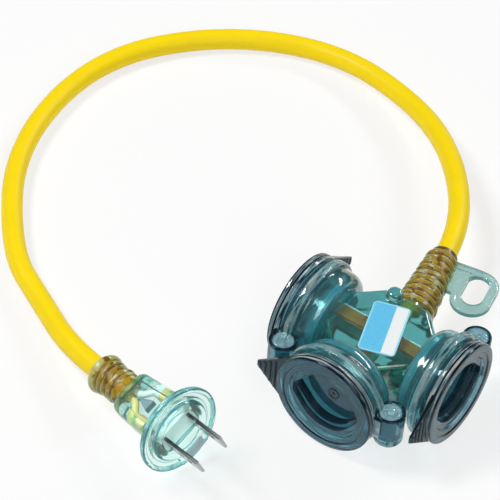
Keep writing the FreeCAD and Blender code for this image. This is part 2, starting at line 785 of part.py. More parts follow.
def label():
    """A bare plate stuck on the hub's top, turned against the outlets."""
    half_x = "(label_width / 2)"
    half_y = "(label_length / 2)"
    body = padded("label", "XY_Plane", [
        (f"-{half_x}", f"-{half_y}"),
        (half_x, f"-{half_y}"),
        (half_x, half_y),
        (f"-{half_x}", half_y),
    ], "label_thickness")
    round_off(body, "label_corner", lambda edge: near(edge.Length, "label_thickness"))
    turn = Rotation(Vector(0, 0, 1), value("label_turn"))
    put(body, "tap_x + label_x", "tap_y + label_y", "axis_height + hub_half_height", turn)
    node(body, "label_plate")


def plug_frame():
    """The plug's origin and its forward and sideways directions."""
    placed = doc.getObject("blade_left").Placement
    forward = placed.Rotation.multVec(Vector(1, 0, 0))
    sideways = placed.Rotation.multVec(Vector(0, 1, 0))
    return placed.Base, forward, sideways


def blade(side):
    """A flat blade with a hole, its shank held in the plug."""
    sign = "" if side == "left" else "-"
    name = f"blade_{side}"
    half = "(blade_thickness / 2)"
    middle = f"{sign}blade_half"
    body = padded(name, "XY_Plane", [
        ("-blade_shank", f"{middle} - {half}"),
        ("blade_length - blade_taper", f"{middle} - {half}"),
        ("blade_length", f"{middle} - {half} / 2"),
        ("blade_length", f"{middle} + {half} / 2"),
        ("blade_length - blade_taper", f"{middle} + {half}"),
        ("-blade_shank", f"{middle} + {half}"),
    ], "blade_width", both_ways=True)
    drill = new_sketch(body, f"{name}_drill", "XZ_Plane")
    hole(drill, "blade_hole", "blade_hole_at", "0")
    pocket = body.newObject("PartDesign::Pocket", f"{name}_pocket")
    pocket.Profile = drill
    pocket.Midplane = True
    pocket.Type = "ThroughAll"
    body.Tip = pocket
    doc.recompute()
    return node(in_plug(body), f"plug_blade_{side}")


def plug_crimp(side):
    """The sleeve at the end of a blade's shank."""
    y = "blade_half" if side == "left" else "-blade_half"
    sleeve = post(f"plug_sleeve_{side}", "plug_crimp_radius", "-blade_shank - plug_crimp_length",
                  "-blade_shank", "x", (y, "0"))
    return node(in_plug(sleeve), f"plug_crimp_{side}")


def plug_conductor(side):
    """An insulated conductor from the sheath's end to its crimp."""
    sign = 1 if side == "left" else -1
    origin, forward, sideways = plug_frame()
    near_side = sign * value("plug_wire_radius + plug_wire_gap / 2")
    far_side = sign * value("blade_half")
    start = origin - forward * value("plug_sheath_end") + sideways * near_side
    end = origin - forward * value("blade_shank + plug_crimp_length") + sideways * far_side
    step = value("plug_fork")
    points = [start, start + forward * step, end - forward * step, end]
    wire = tube(f"plug_wire_{side}", points, value("plug_wire_radius"))
    return node(wire, f"plug_conductor_{side}")


def plug():
    """The moulded plug, its boot and all that is buried in it."""
    blades = [blade("left"), blade("right")]
    doc.recompute()
    room = post("plug_sheath_post", "cord_radius", "-plug_boot_end", "-plug_sheath_end", "x")
    sheath = node(in_plug(room), "plug_sheath")
    crimps = [plug_crimp("left"), plug_crimp("right")]
    wires = [plug_conductor("left"), plug_conductor("right")]
    core = padded("holder_block", "XY_Plane", [
        ("-holder_back", "-holder_half_width"),
        ("-holder_front", "-holder_half_width"),
        ("-holder_front", "holder_half_width"),
        ("-holder_back", "holder_half_width"),
    ], "holder_half_height * 2", both_ways=True)
    holder = node(cut("holder", in_plug(core), fuse("holder_slots", blades)), "blade_holder")
    spacer = padded("spacer", "XY_Plane", [
        ("-spacer_tip", "0"),
        ("-(blade_shank + plug_crimp_length)", "-spacer_half_width"),
        ("-(blade_shank + plug_crimp_length)", "spacer_half_width"),
    ], "spacer_half_height * 2", both_ways=True)
    spacer = node(in_plug(spacer), "conductor_spacer")
    panel = padded("panel_sheet", "YZ_Plane", [
        ("-panel_half_width", "-panel_outer"),
        ("panel_half_width", "-panel_outer"),
        ("panel_half_width", "-panel_inner"),
        ("-panel_half_width", "-panel_inner"),
    ], "panel_thickness", "-plug_flange_front")
    panel = node(in_plug(panel), "flange_panel")

    flange = turned("plug_flange", "XY_Plane", "H_Axis", [
        ("-plug_flange_back", "0"),
        ("-plug_flange_back", "plug_flange_radius"),
        ("-plug_flange_front", "plug_flange_radius"),
        ("-plug_flange_front", "plug_rim_inner"),
        ("-(plug_flange_front + plug_groove)", "plug_rim_inner"),
        ("-(plug_flange_front + plug_groove)", "plug_nose_radius"),
        ("0", "plug_nose_radius"),
        ("0", "0"),
    ])
    round_off(flange, "plug_flange_edge", ring_edge("plug_flange_radius", "-plug_flange_back", "x"))
    round_off(flange, "plug_rim_edge", ring_edge("plug_flange_radius", "-plug_flange_front", "x"))
    pad = box("flange_pad", ("-plug_flange_back + 1", "-plug_flange_front"),
              ("-pad_half_width", "pad_half_width"), ("-pad_outer", "-pad_inner"))
    shell = doc.addObject("PartDesign::Body", "plug_shell")
    wide = new_sketch(shell, "plug_shell_wide", "YZ_Plane", "-plug_shell_start")
    rectangle(wide, "-plug_body_wide / 2", "plug_body_wide / 2", "-plug_body_thick / 2",
              "plug_body_thick / 2")
    narrow = new_sketch(shell, "plug_shell_narrow", "YZ_Plane", "-plug_body_back")
    rectangle(narrow, "-plug_body_narrow / 2", "plug_body_narrow / 2", "-plug_body_thin / 2",
              "plug_body_thin / 2")
    loft = shell.newObject("PartDesign::AdditiveLoft", "plug_shell_loft")
    loft.Profile = wide
    loft.Sections = [narrow]
    doc.recompute()
    long_side = value("plug_body_back - plug_flange_back")
    round_off(shell, "plug_body_edge", lambda edge: edge.Length > long_side)
    outer = in_plug(fuse("plug_outer", [flange, pad, shell]))
    buried = fuse("plug_rooms", [*blades, holder, *crimps, *wires, spacer, panel, sheath])
    node(cut("plug_body", outer, buried), "plug_body")

    collar = doc.addObject("Part::Torus", "plug_collar")
    bind(collar, "Radius1", "plug_boot_tip_radius")
    bind(collar, "Radius2", "plug_collar_radius")
    put(collar, "0", "0", "-plug_collar_at")
    ribs = ribbed("plug_boot", "plug_boot_tip_radius", "plug_boot_base_radius", "-plug_boot_end",
                  "-plug_body_back", "-plug_rib_start", "plug_rib_pitch", 4, "plug_rib_radius",
                  [collar])
    node(cut("plug_boot", in_plug(ribs, AXES["x"]), sheath), "plug_boot")


def cord():
    """The free cord, from the tap's boot to the plug's boot."""
    origin, forward, _ = plug_frame()
    start = boot_point(value("boot_end"))
    lead = boot_point(value("boot_end") + CORD_LEAD)
    end = origin - forward * value("plug_boot_end")
    middle = [Vector(value("tap_x") + x, value("tap_y") + y, z) for x, y, z in CORD_ROUTE]
    route = [start, lead, *middle, end - forward * CORD_TAIL, end]
    node(tube("cord_tube", route, value("cord_radius")), "cord")
    for point in route:
        print("route", [round(number, 2) for number in point])


for outlet in SIDES:
    outlet_cup(outlet)
    outlet_face(outlet)
    for pole in ("upper", "lower"):
        contact(outlet, pole)
    lid(outlet)
    hinge_pin(outlet)
inner_sheath = tap_sheath()
inside = [inner_sheath]
for pole in ("upper", "lower"):
    inside += [bus(pole), crimp(pole), tap_conductor(pole)]
hub(inside)
tap_boot(inner_sheath)
label()
plug()
cord()
doc.recompute()

for thing in doc.Objects:
    if "Invalid" in thing.State or "Error" in thing.State:
        raise ValueError(f"{thing.Name} did not build: {thing.State}")
for piece in nodes:
    if piece.Shape.isNull() or not piece.Shape.isValid():
        raise ValueError(f"{piece.Label} has no sound shape")
os.makedirs("parts", exist_ok=True)
for piece in nodes:
    piece.Shape.exportStep(f"parts/{piece.Label}.step")
    print(piece.Label, len(piece.Shape.Solids), round(piece.Shape.Volume, 1), piece.Shape.BoundBox)
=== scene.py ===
"""Dresses the extension cord: clear mouldings, smoke lids, brass inside, a yellow cord.

Rigid pieces are drawn in millimetres, in the axes of an outlet, the tap, a boot or the plug,
and then moved to the part's frame, which is in metres. Looks take their place from that frame.
"""

import json
import math

import bmesh
import bpy
from mathutils import Matrix, Vector


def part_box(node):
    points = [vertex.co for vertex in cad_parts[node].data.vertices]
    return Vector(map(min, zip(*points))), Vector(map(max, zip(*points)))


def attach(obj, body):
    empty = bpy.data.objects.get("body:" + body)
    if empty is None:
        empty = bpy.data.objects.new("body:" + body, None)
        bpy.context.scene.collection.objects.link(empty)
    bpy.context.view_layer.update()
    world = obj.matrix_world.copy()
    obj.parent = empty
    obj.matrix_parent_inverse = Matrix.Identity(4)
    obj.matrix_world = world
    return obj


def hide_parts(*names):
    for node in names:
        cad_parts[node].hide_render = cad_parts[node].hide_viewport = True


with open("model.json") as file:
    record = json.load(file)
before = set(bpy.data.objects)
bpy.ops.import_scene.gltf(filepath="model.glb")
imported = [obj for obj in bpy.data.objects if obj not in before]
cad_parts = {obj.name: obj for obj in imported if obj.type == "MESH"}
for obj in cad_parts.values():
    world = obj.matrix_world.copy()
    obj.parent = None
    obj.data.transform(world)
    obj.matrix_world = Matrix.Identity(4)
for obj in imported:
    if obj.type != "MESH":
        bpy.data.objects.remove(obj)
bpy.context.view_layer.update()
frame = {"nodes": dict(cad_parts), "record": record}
nodes = frame["nodes"]
SLOTS = {entry["node"]: entry["material_slot"] for entry in frame["record"]["subparts"]}

MM = 0.001

# The outlets: their turns about the tap's upright axis, and the axis that each faces along,
# which the painted highlight streaks on its side run round.
SIDES = {"south": 0, "east": 90, "west": -90}
FACES_ALONG = {"south": "y", "east": "x", "west": "x"}

# The tap's upright axis and the height of its outlets, from the frame.
face_low, face_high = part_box("outlet_face_east")
TAP = Vector((0, (face_low.y + face_high.y) / 2, (face_low.z + face_high.z) / 2))

# Camera: a long lens at the photograph's angle.
PHOTO_SIZE = 500
FOCAL_PIXELS = 3128.25
CAMERA_ELEVATION = 45.87
CAMERA_HEADING = 32.85
CAMERA_ROLL = 4.87
CAMERA_DISTANCE = 1.2563
CAMERA_TARGET = TAP + Vector((-0.07057, 0.01039, 0))
CAMERA_CLIP = (0.1, 10)

# The free cord's route, as in the part's source, in metres.
CORD_ROUTE = [
    (-0.00783, 0.04681, 0.0225),
    (-0.01216, 0.06633, 0.0225),
    (-0.038, 0.10022, 0.018),
    (-0.072, 0.12522, 0.010),
    (-0.122, 0.13622, 0.00455),
    (-0.169, 0.11122, 0.00455),
    (-0.200, 0.06422, 0.00455),
    (-0.193, 0.00022, 0.00455),
    (-0.155, -0.04878, 0.00455),
    (-0.127, -0.06278, 0.00455),
    (-0.10096, -0.07748, 0.00862),
    (-0.08167, -0.08175, 0.01174),
]
CORD_DIAMETER = 0.009

# The label's turn and middle, its half width and half length, where its white field starts
# and how wide its border is, in metres.
LABEL_TURN = math.radians(19.5)
LABEL_PLACE = TAP + Vector((0.0013, -0.0004, 0))
LABEL_HALF = (0.0075, 0.0134)
LABEL_SPLIT = 0.0018
LABEL_BORDER = 0.0007

# The surround's strength as a light, and how much of the floor's white it gives by itself.
SURROUND_LIGHT = 0.7
FLOOR_WHITE = 0.72
FLOOR_SIZE = 8
FLOOR_GAP = 0.0002

# Lamps: name, place, width and height in metres, power in watts.
LAMPS = (
    ("key", (-0.9, -0.5, 1.5), (0.5, 0.5), 22),
    ("fill", (1.1, -0.9, 1.2), (1.0, 1.0), 12),
    ("rim", (0.3, 1.4, 1.0), (1.2, 0.2), 12),
)

# The colour sockets of a Mix node.
MIX_FIRST, MIX_SECOND, MIX_RESULT = 6, 7, 2

VINYL_IOR = 1.47
COAT_ROUGHNESS = 0.04

# The far edge of the upper contacts gets a painted white highlight from here on, in Y.
CONTACT_GLINT_FROM = TAP.y + 0.0024


def rgba(colour):
    """A colour with full opacity."""
    return (*colour, 1)


def preset(node, settings):
    """The node with inputs set by their sockets' names, with _ for a space."""
    for key, value in settings.items():
        node.inputs[key.replace("_", " ")].default_value = value
    return node


class Nodes:
    """A node tree, with short ways to add nodes, link them and use what they give."""

    def __init__(self, tree):
        self.tree = tree
        self.link = tree.links.new

    def add(self, kind, **settings):
        """A new node with some of its inputs set."""
        return preset(self.tree.nodes.new(f"ShaderNode{kind}"), settings)

    def math(self, operation, first, second=0.0):
        """What a Math node gives for two sockets or numbers."""
        node = self.add("Math")
        node.operation = operation
        for socket, value in zip(node.inputs, (first, second)):
            if isinstance(value, float):
                socket.default_value = value
            else:
                self.link(value, socket)
        return node.outputs[0]

    def mix(self, factor, first, second):
        """The colour between two, each of them a colour or a socket."""
        node = self.add("Mix")
        node.data_type = "RGBA"
        self.link(factor, node.inputs["Factor"])
        for place, value in ((MIX_FIRST, first), (MIX_SECOND, second)):
            if isinstance(value, tuple):
                node.inputs[place].default_value = rgba(value)
            else:
                self.link(value, node.inputs[place])
        return node.outputs[MIX_RESULT]

    def mapped(self, place, scale):
        """A place stretched along each axis."""
        node = self.add("Mapping", Scale=scale)
        self.link(place, node.inputs["Vector"])
        return node.outputs["Vector"]

    def noise(self, place, scale, detail=2.0):
        """A noise level at a place."""
        node = self.add("TexNoise", Scale=scale, Detail=detail)
        self.link(place, node.inputs["Vector"])
        return node.outputs["Fac"]

    def ramp(self, factor, stops):
        """A colour that runs through (position, colour) stops."""
        node = self.add("ValToRGB")
        elements = node.color_ramp.elements
        for element, (position, colour) in zip(elements, (stops[0], stops[-1])):
            element.position = position
            element.color = rgba(colour)
        for position, colour in stops[1:-1]:
            elements.new(position).color = rgba(colour)
        self.link(factor, node.inputs["Fac"])
        return node.outputs["Color"]

    def axes(self, place):
        """The X, Y and Z of a place."""
        node = self.add("SeparateXYZ")
        self.link(place, node.inputs["Vector"])
        return node.outputs

    def seen_straight(self):
        """1 for what the camera, a gloss or a clear piece shows, and 0 for the lighting."""
        path = self.add("LightPath")
        factor = path.outputs["Is Camera Ray"]
        for other in ("Is Glossy Ray", "Is Transmission Ray"):
            factor = self.math("MAXIMUM", factor, path.outputs[other])
        return factor


class Look(Nodes):
    """A material in the making, with its shader's settings."""

    def __init__(self, name, **settings):
        self.material = bpy.data.materials.new(name)
        self.material.use_nodes = True
        super().__init__(self.material.node_tree)
        self.shader = preset(self.tree.nodes["Principled BSDF"], settings)
        self.output = self.tree.nodes["Material Output"]

    def place(self):
        """Where a point of the surface is, in the part's frame."""
        return self.add("TexCoord").outputs["Object"]

    def colour(self, result):
        """Gives the shader its colour."""
        self.link(result, self.shader.inputs["Base Color"])

    def bump(self, height, strength, distance):
        """Raises the surface a little where a level is high."""
        node = self.add("Bump", Strength=strength, Distance=distance)
        self.link(height, node.inputs["Height"])
        self.link(node.outputs["Normal"], self.shader.inputs["Normal"])

    def or_else(self, factor, other):
        """Shows another shader in the first one's place, by a factor."""
        node = self.add("MixShader")
        for socket, result in zip(node.inputs, (factor, self.shader.outputs["BSDF"], other)):
            self.link(result, socket)
        self.link(node.outputs["Shader"], self.output.inputs["Surface"])


def clear_plastic(
    name, colour, edge, rim, through, clear, roughness, waviness=0.15, scale=160.0,
    depth=None, bands=(), stretch=None, gloss=0.0, sheen=(1, 1, 1), shine=0.5,
):
    """Clear moulded vinyl: tinted, milky where it isn't fully clear, deeper in tint where thick.

    The colour turns into edge where the surface turns away, between the two levels of rim:
    there it is a painted dark outline, or on the boots a painted glint. Light that passes to
    what lies behind has the tint through. depth is the tint within and its density. bands are
    painted streaks of highlight and shade, on the boots dark mottled tone and painted glints,
    as (noise level, colour, strength), and stretch is the scale of their noise along each axis.
    """
    look = Look(
        name, Roughness=roughness, IOR=VINYL_IOR, Transmission_Weight=clear,
        Coat_Weight=gloss, Coat_Roughness=COAT_ROUGHNESS, Specular_Tint=rgba(sheen),
        Specular_IOR_Level=shine,
    )
    place = look.place()
    # Painted dark outline, or painted glint on the boots, where the surface turns away.
    slope = look.add("LayerWeight", Blend=0.5)
    tint = look.ramp(slope.outputs["Facing"], [(rim[0], colour), (rim[1], edge)])
    # Painted streaks of highlight and shade laid over the colour.
    if bands:
        level = look.noise(look.mapped(place, stretch), 1.0)
        streaks = look.ramp(level, [(position, band) for position, band, _ in bands])
        strength = look.ramp(level, [(position, (share,) * 3) for position, _, share in bands])
        tint = look.mix(strength, tint, streaks)
    look.colour(tint)
    look.bump(look.noise(place, scale), waviness, 0.001)
    passing = look.add("BsdfTransparent", Color=rgba(through))
    shadow = look.add("LightPath").outputs["Is Shadow Ray"]
    look.or_else(shadow, passing.outputs["BSDF"])
    if depth:
        inside = look.add("VolumeAbsorption", Color=rgba(depth[0]), Density=depth[1])
        look.link(inside.outputs["Volume"], look.output.inputs["Volume"])
    return look.material


def solid_plastic(name, colour, roughness=0.4, grain=0.1, shine=0.5, low=0.9, high=1.05):
    """Opaque plastic with a fine grain, in patches from low to high shares of its colour."""
    look = Look(name, Roughness=roughness, Specular_IOR_Level=shine)
    place = look.place()
    darker = [part * low for part in colour]
    lighter = [min(1, part * high) for part in colour]
    patches = look.noise(place, 90.0, detail=3.0)
    look.colour(look.ramp(patches, [(0.3, darker), (0.7, lighter)]))
    look.bump(look.noise(place, 1800.0), grain, 0.0002)
    return look.material


def label_look():
    """The label's plain fields: blue and white within a pale blue border."""
    look = Look("label_face", Roughness=0.35)
    place = look.place()
    own = look.add("Mapping", Location=LABEL_PLACE, Rotation=(0, 0, LABEL_TURN))
    own.vector_type = "TEXTURE"
    look.link(place, own.inputs["Vector"])
    across, along, _ = look.axes(own.outputs["Vector"])
    blue = look.mix(look.noise(place, 900.0), (0.10, 0.50, 0.80), (0.16, 0.60, 0.88))
    white_side = look.math("GREATER_THAN", across, LABEL_SPLIT)
    fields = look.mix(white_side, blue, (0.86, 0.90, 0.90))
    beyond = [
        look.math("GREATER_THAN", look.math("ABSOLUTE", value), half - LABEL_BORDER)
        for value, half in zip((across, along), LABEL_HALF)
    ]
    look.colour(look.mix(look.math("MAXIMUM", *beyond), fields, (0.30, 0.72, 0.90)))
    return look.material


def sheet_metal(name, colour, roughness, metal, glint_from=None):
    """Rolled metal with fine lines along it, and a painted white highlight from some place on in
    Y.
    """
    look = Look(name, Base_Color=rgba(colour), Metallic=metal)
    place = look.place()
    lines = look.noise(look.mapped(place, (200, 2500, 2500)), 1.0)
    spread = look.add("MapRange", To_Min=roughness * 0.7, To_Max=roughness * 1.4)
    look.link(lines, spread.inputs["Value"])
    look.link(spread.outputs["Result"], look.shader.inputs["Roughness"])
    look.bump(lines, 0.15, 0.0001)
    # Painted white highlight along the far edge.
    if glint_from is not None:
        beyond = look.math("GREATER_THAN", look.axes(place)["Y"], glint_from)
        look.colour(look.mix(beyond, colour, (1, 1, 1)))
    return look.material


# Streaks as (noise level, colour, strength): dark, two with little or no strength, bright. On
# the mouldings the dark ones are painted shade and the bright ones painted highlights; on the
# boots the dark ones are mottled tone and the bright ones painted glints.
WHITE = (1.0, 1.0, 1.0)
RIM_GLINTS_AND_SHADE = [
    (0.36, (0.02, 0.05, 0.07), 1.0), (0.45, (0.10, 0.18, 0.22), 0.3),
    (0.56, (0.6, 0.8, 0.85), 0.2), (0.62, WHITE, 1.0),
]
CUP_GLINTS_AND_SHADE = [
    (0.38, (0.02, 0.10, 0.12), 1.0), (0.45, (0.2, 0.5, 0.5), 0.1),
    (0.55, (0.6, 0.9, 0.9), 0.1), (0.60, WHITE, 1.0),
]
# Mottled brown tone, with painted teal glints.
BOOT_MOTTLE_AND_GLINTS = [
    (0.36, (0.22, 0.12, 0.02), 1.0), (0.45, (0.4, 0.3, 0.05), 0.0),
    (0.60, (0.6, 0.7, 0.3), 0.0), (0.66, (0.62, 0.86, 0.70), 0.8),
]
PLUG_GLINTS_AND_SHADE = [
    (0.36, (0.05, 0.36, 0.38), 1.0), (0.46, (0.3, 0.7, 0.7), 0.0),
    (0.60, (0.9, 1.0, 1.0), 0.0), (0.68, WHITE, 0.9),
]
BODY_GLINTS_AND_SHADE = [
    (0.38, (0.06, 0.42, 0.38), 0.9), (0.46, (0.3, 0.75, 0.68), 0.2),
    (0.58, (0.7, 1.0, 0.9), 0.2), (0.66, WHITE, 0.9),
]
# Noise scales along X, Y and Z, for painted streaks that run round one of them.
STREAKS_ROUND = {"x": (900, 90, 90), "y": (90, 900, 90)}

SMOKE = {
    "edge": (0.004, 0.008, 0.014), "rim": (0.35, 0.85), "waviness": 0.12, "scale": 140.0,
    "sheen": (0.6, 0.85, 1.0),
}
# The lids' side: its colour lightened as painted light, with painted highlight and shade
# streaks.
LID_RIM_LOOK = {
    "colour": (0.42, 0.60, 0.66), "edge": (0.02, 0.04, 0.05), "rim": (0.35, 0.85),
    "through": (0.5, 0.6, 0.65), "clear": 0.60, "roughness": 0.08, "waviness": 0.12,
    "scale": 140.0, "bands": RIM_GLINTS_AND_SHADE,
}
# The cups' flange side, with painted highlight and shade streaks.
CUP_SIDE_LOOK = {
    "colour": (0.44, 0.76, 0.80), "edge": (0.05, 0.24, 0.27), "rim": (0.5, 0.95),
    "through": (0.78, 0.93, 0.92), "clear": 0.75, "roughness": 0.07, "bands": CUP_GLINTS_AND_SHADE,
}
BOOT = {"rim": (0.4, 0.8), "roughness": 0.12, "waviness": 0.30, "scale": 300.0}

CLEAR_LOOKS = {
    # the tap's hub and cups
    "clear_teal": dict(
        colour=(0.30, 0.62, 0.65), edge=(0.04, 0.20, 0.23), rim=(0.45, 0.92),
        through=(0.78, 0.93, 0.92), clear=0.93, roughness=0.13,
        depth=((0.34, 0.80, 0.78), 50.0), gloss=0.9),
    # Painted shade in the cups' creases behind the flange and round the mouth.
    "cup_line": dict(
        colour=(0.04, 0.14, 0.16), edge=(0.02, 0.10, 0.12), rim=(0.4, 0.9),
        through=(0.6, 0.8, 0.8), clear=0.60, roughness=0.08),
    "pin_clear": dict(
        colour=(0.62, 0.82, 0.86), edge=(0.10, 0.30, 0.34), rim=(0.4, 0.9),
        through=(0.85, 0.95, 0.95), clear=0.80, roughness=0.04, waviness=0.10, scale=200.0),
    # the plug
    "clear_aqua": dict(
        colour=(0.86, 1.0, 0.97), edge=(0.04, 0.34, 0.36), rim=(0.45, 0.95),
        through=(0.88, 0.98, 0.96), clear=0.92, roughness=0.05,
        depth=((0.45, 0.92, 0.88), 30.0)),
    # Painted shade on the flange's rims, the nose line and the window walls.
    "aqua_edge": dict(
        colour=(0.03, 0.24, 0.27), edge=(0.01, 0.12, 0.15), rim=(0.4, 0.9),
        through=(0.6, 0.8, 0.8), clear=0.45, roughness=0.08),
    # The flange's side: darkened as painted shade, with painted highlight and shade streaks.
    "aqua_side": dict(
        colour=(0.28, 0.74, 0.73), edge=(0.03, 0.28, 0.30), rim=(0.35, 0.85),
        through=(0.8, 0.95, 0.95), clear=0.75, roughness=0.06,
        bands=PLUG_GLINTS_AND_SHADE, stretch=(900, 220, 220)),
    # The body's flanks, with painted highlight and shade streaks.
    "aqua_body": dict(
        colour=(0.55, 0.92, 0.82), edge=(0.05, 0.42, 0.42), rim=(0.35, 0.95),
        through=(0.85, 0.97, 0.95), clear=0.85, roughness=0.06,
        bands=BODY_GLINTS_AND_SHADE, stretch=(260, 260, 260)),
    "insert_clear": dict(
        colour=(0.97, 1.0, 0.99), edge=(0.30, 0.70, 0.70), rim=(0.6, 1.0),
        through=(0.92, 0.99, 0.98), clear=0.35, roughness=0.08, waviness=0.30, scale=400.0),
    # the lids
    "smoke_lid": dict(
        SMOKE, colour=(0.16, 0.39, 0.48), through=(0.45, 0.55, 0.60), clear=0.88,
        roughness=0.09),
    # Painted shade on the lids' rim edges, groove, dish wall, ring top, tab ribs and gate mark.
    "smoke_edge": dict(
        SMOKE, colour=(0.010, 0.017, 0.026), through=(0.30, 0.36, 0.40), clear=0.45,
        roughness=0.10),
    "smoke_tab": dict(
        SMOKE, colour=(0.05, 0.09, 0.11), through=(0.30, 0.36, 0.40), clear=0.25,
        roughness=0.10, shine=0.15),
    # the boots, with painted glints where they turn away, and the eyelet
    "boot_teal": dict(
        BOOT, colour=(0.48, 0.36, 0.05), edge=(0.45, 0.80, 0.62),
        through=(0.70, 0.75, 0.45), clear=0.45, bands=BOOT_MOTTLE_AND_GLINTS, stretch=(260, 260, 260)),
    # Painted shade in the boots' grooves between the ribs.
    "boot_groove": dict(
        colour=(0.17, 0.09, 0.03), edge=(0.16, 0.14, 0.05), rim=(0.55, 0.95),
        through=(0.50, 0.40, 0.20), clear=0.30, roughness=0.20, waviness=0.30, scale=300.0),
    "boot_cream": dict(
        BOOT, colour=(0.68, 0.66, 0.24), edge=(0.40, 0.74, 0.56),
        through=(0.80, 0.85, 0.60), clear=0.40, bands=BOOT_MOTTLE_AND_GLINTS, stretch=(220, 220, 220)),
    "boot_orange": dict(
        BOOT, colour=(0.56, 0.36, 0.02), edge=(0.60, 0.60, 0.10),
        through=(0.85, 0.70, 0.30), clear=0.35, bands=BOOT_MOTTLE_AND_GLINTS, stretch=(300, 300, 300)),
    "eyelet_teal": dict(
        colour=(0.38, 0.56, 0.54), edge=(0.10, 0.38, 0.38), rim=(0.4, 0.9),
        through=(0.85, 0.95, 0.94), clear=0.70, roughness=0.08, scale=200.0),
    # Painted shade on the eyelet's steep rim faces.
    "eyelet_edge": dict(
        colour=(0.14, 0.36, 0.36), edge=(0.04, 0.20, 0.20), rim=(0.4, 0.9),
        through=(0.7, 0.85, 0.84), clear=0.60, roughness=0.08, scale=200.0),
}
for axis, scales in STREAKS_ROUND.items():
    CLEAR_LOOKS[f"rim_{axis}"] = dict(LID_RIM_LOOK, stretch=scales)
    CLEAR_LOOKS[f"cup_{axis}"] = dict(CUP_SIDE_LOOK, stretch=scales)

SOLID_LOOKS = {
    "outlet_face": dict(colour=(0.07, 0.24, 0.29)),
    "yellow_sheath": dict(
        colour=(1.0, 0.74, 0.004), roughness=0.42, grain=0.25, shine=0.2, low=0.96, high=1.0),
    "sheath_inside": dict(colour=(0.42, 0.26, 0.01), roughness=0.5),
    "wire_cover": dict(colour=(1.0, 0.74, 0.24)),
    "wire_white": dict(colour=(0.92, 0.94, 0.90)),
    "slate_spacer": dict(colour=(0.05, 0.15, 0.21)),
    "grey_panel": dict(colour=(0.48, 0.61, 0.66), roughness=0.5),
}

METAL_LOOKS = {
    "contact_brass": dict(
        colour=(0.62, 0.20, 0.02), roughness=0.28, metal=0.3, glint_from=CONTACT_GLINT_FROM),
    # Painted shade: brass darkened where it lies deep in the hub.
    "dim_brass": dict(colour=(0.16, 0.26, 0.18), roughness=0.4, metal=0.2),
    # The lower bar's brass, lightened green as painted light through the hub.
    "bus_brass": dict(colour=(0.34, 0.60, 0.42), roughness=0.4, metal=0.2),
    "crimp_brass": dict(colour=(0.86, 0.62, 0.26), roughness=0.35, metal=0.3),
    "bright_nickel": dict(colour=(0.42, 0.44, 0.43), roughness=0.2, metal=1.0),
    # Painted reflection: nickel darkened on the blades' upper faces.
    "dark_nickel": dict(colour=(0.015, 0.025, 0.025), roughness=0.3, metal=0.3),
}

MATERIALS = {"label_face": label_look()}
for kind, looks in (
    (clear_plastic, CLEAR_LOOKS), (solid_plastic, SOLID_LOOKS), (sheet_metal, METAL_LOOKS),
):
    for look_name, settings in looks.items():
        MATERIALS[look_name] = kind(look_name, **settings)

# Nodes that show something other than their slot's look.
NODE_LOOKS = {
    "tap_sheath": "sheath_inside",
    "plug_sheath": "sheath_inside",
    "plug_conductor_left": "wire_white",
    "plug_crimp_left": "crimp_brass",
    "plug_crimp_right": "crimp_brass",
    "upper_crimp": "dim_brass",
    "lower_crimp": "dim_brass",
    "blade_holder": "insert_clear",
}
for node, slot in SLOTS.items():
    worn = nodes[node].data.materials
    worn.clear()
    worn.append(MATERIALS[NODE_LOOKS.get(node, slot)])


def within(value, band):
    """Whether a value lies between two others."""
    return band[0] < value < band[1]


def grown(line, count):
    """A number that starts at one value and grows by another at each step."""
    start, step = line
    return start + step * count


def round_points(radius, count):
    """Points on a circle about the origin."""
    turns = [math.tau * n / count for n in range(count)]
    return [(radius * math.cos(turn), radius * math.sin(turn)) for turn in turns]


def rounded(corners, steps=5):
    """A profile whose corners (x, y, radius) are replaced by small arcs."""
    points = []
    count = len(corners)
    for n, (x, y, radius) in enumerate(corners):
        here = Vector((x, y))
        if not radius or n in (0, count - 1):
            points.append((x, y))
            continue
        before = (Vector(corners[n - 1][:2]) - here).normalized()
        after = (Vector(corners[n + 1][:2]) - here).normalized()
        for step in range(steps + 1):
            share = step / steps
            start = here + before * radius * (1 - share)
            stop = here + after * radius * share
            points.append(tuple(start.lerp(stop, share)))
    return points


def new_object(name, data):
    """An object in the scene that shows a mesh, a curve, a lamp or a camera."""
    thing = bpy.data.objects.new(name, data)
    bpy.context.scene.collection.objects.link(thing)
    return thing


def mesh_of(name, spots, faces):
    """An object with a mesh of its own, whose double points are joined."""
    made = bpy.data.meshes.new(name)
    made.from_pydata(spots, [], faces)
    work = bmesh.new()
    work.from_mesh(made)
    bmesh.ops.remove_doubles(work, verts=work.verts, dist=1e-5)
    bmesh.ops.recalc_face_normals(work, faces=work.faces)
    work.to_mesh(made)
    work.free()
    return new_object(name, made)


def swept(name, rings, ends=True):
    """A closed solid through rings of equally many points."""
    count = len(rings[0])
    spots = [spot for ring in rings for spot in ring]
    faces = []
    for level in range(len(rings) - 1):
        for n in range(count):
            m = (n + 1) % count
            low, high = level * count, (level + 1) * count
            faces.append((low + n, low + m, high + m, high + n))
    if ends:
        faces.append(tuple(reversed(range(count))))
        faces.append(tuple(range((len(rings) - 1) * count, len(rings) * count)))
    return mesh_of(name, spots, faces)


def lathe(name, profile, steps=96, ends=True):
    """A solid turned about +Z from (radius, height) points."""
    rings = [
        [(x, y, height) for x, y in round_points(max(radius, 1e-4), steps)]
        for radius, height in profile
    ]
    return swept(name, rings, ends)


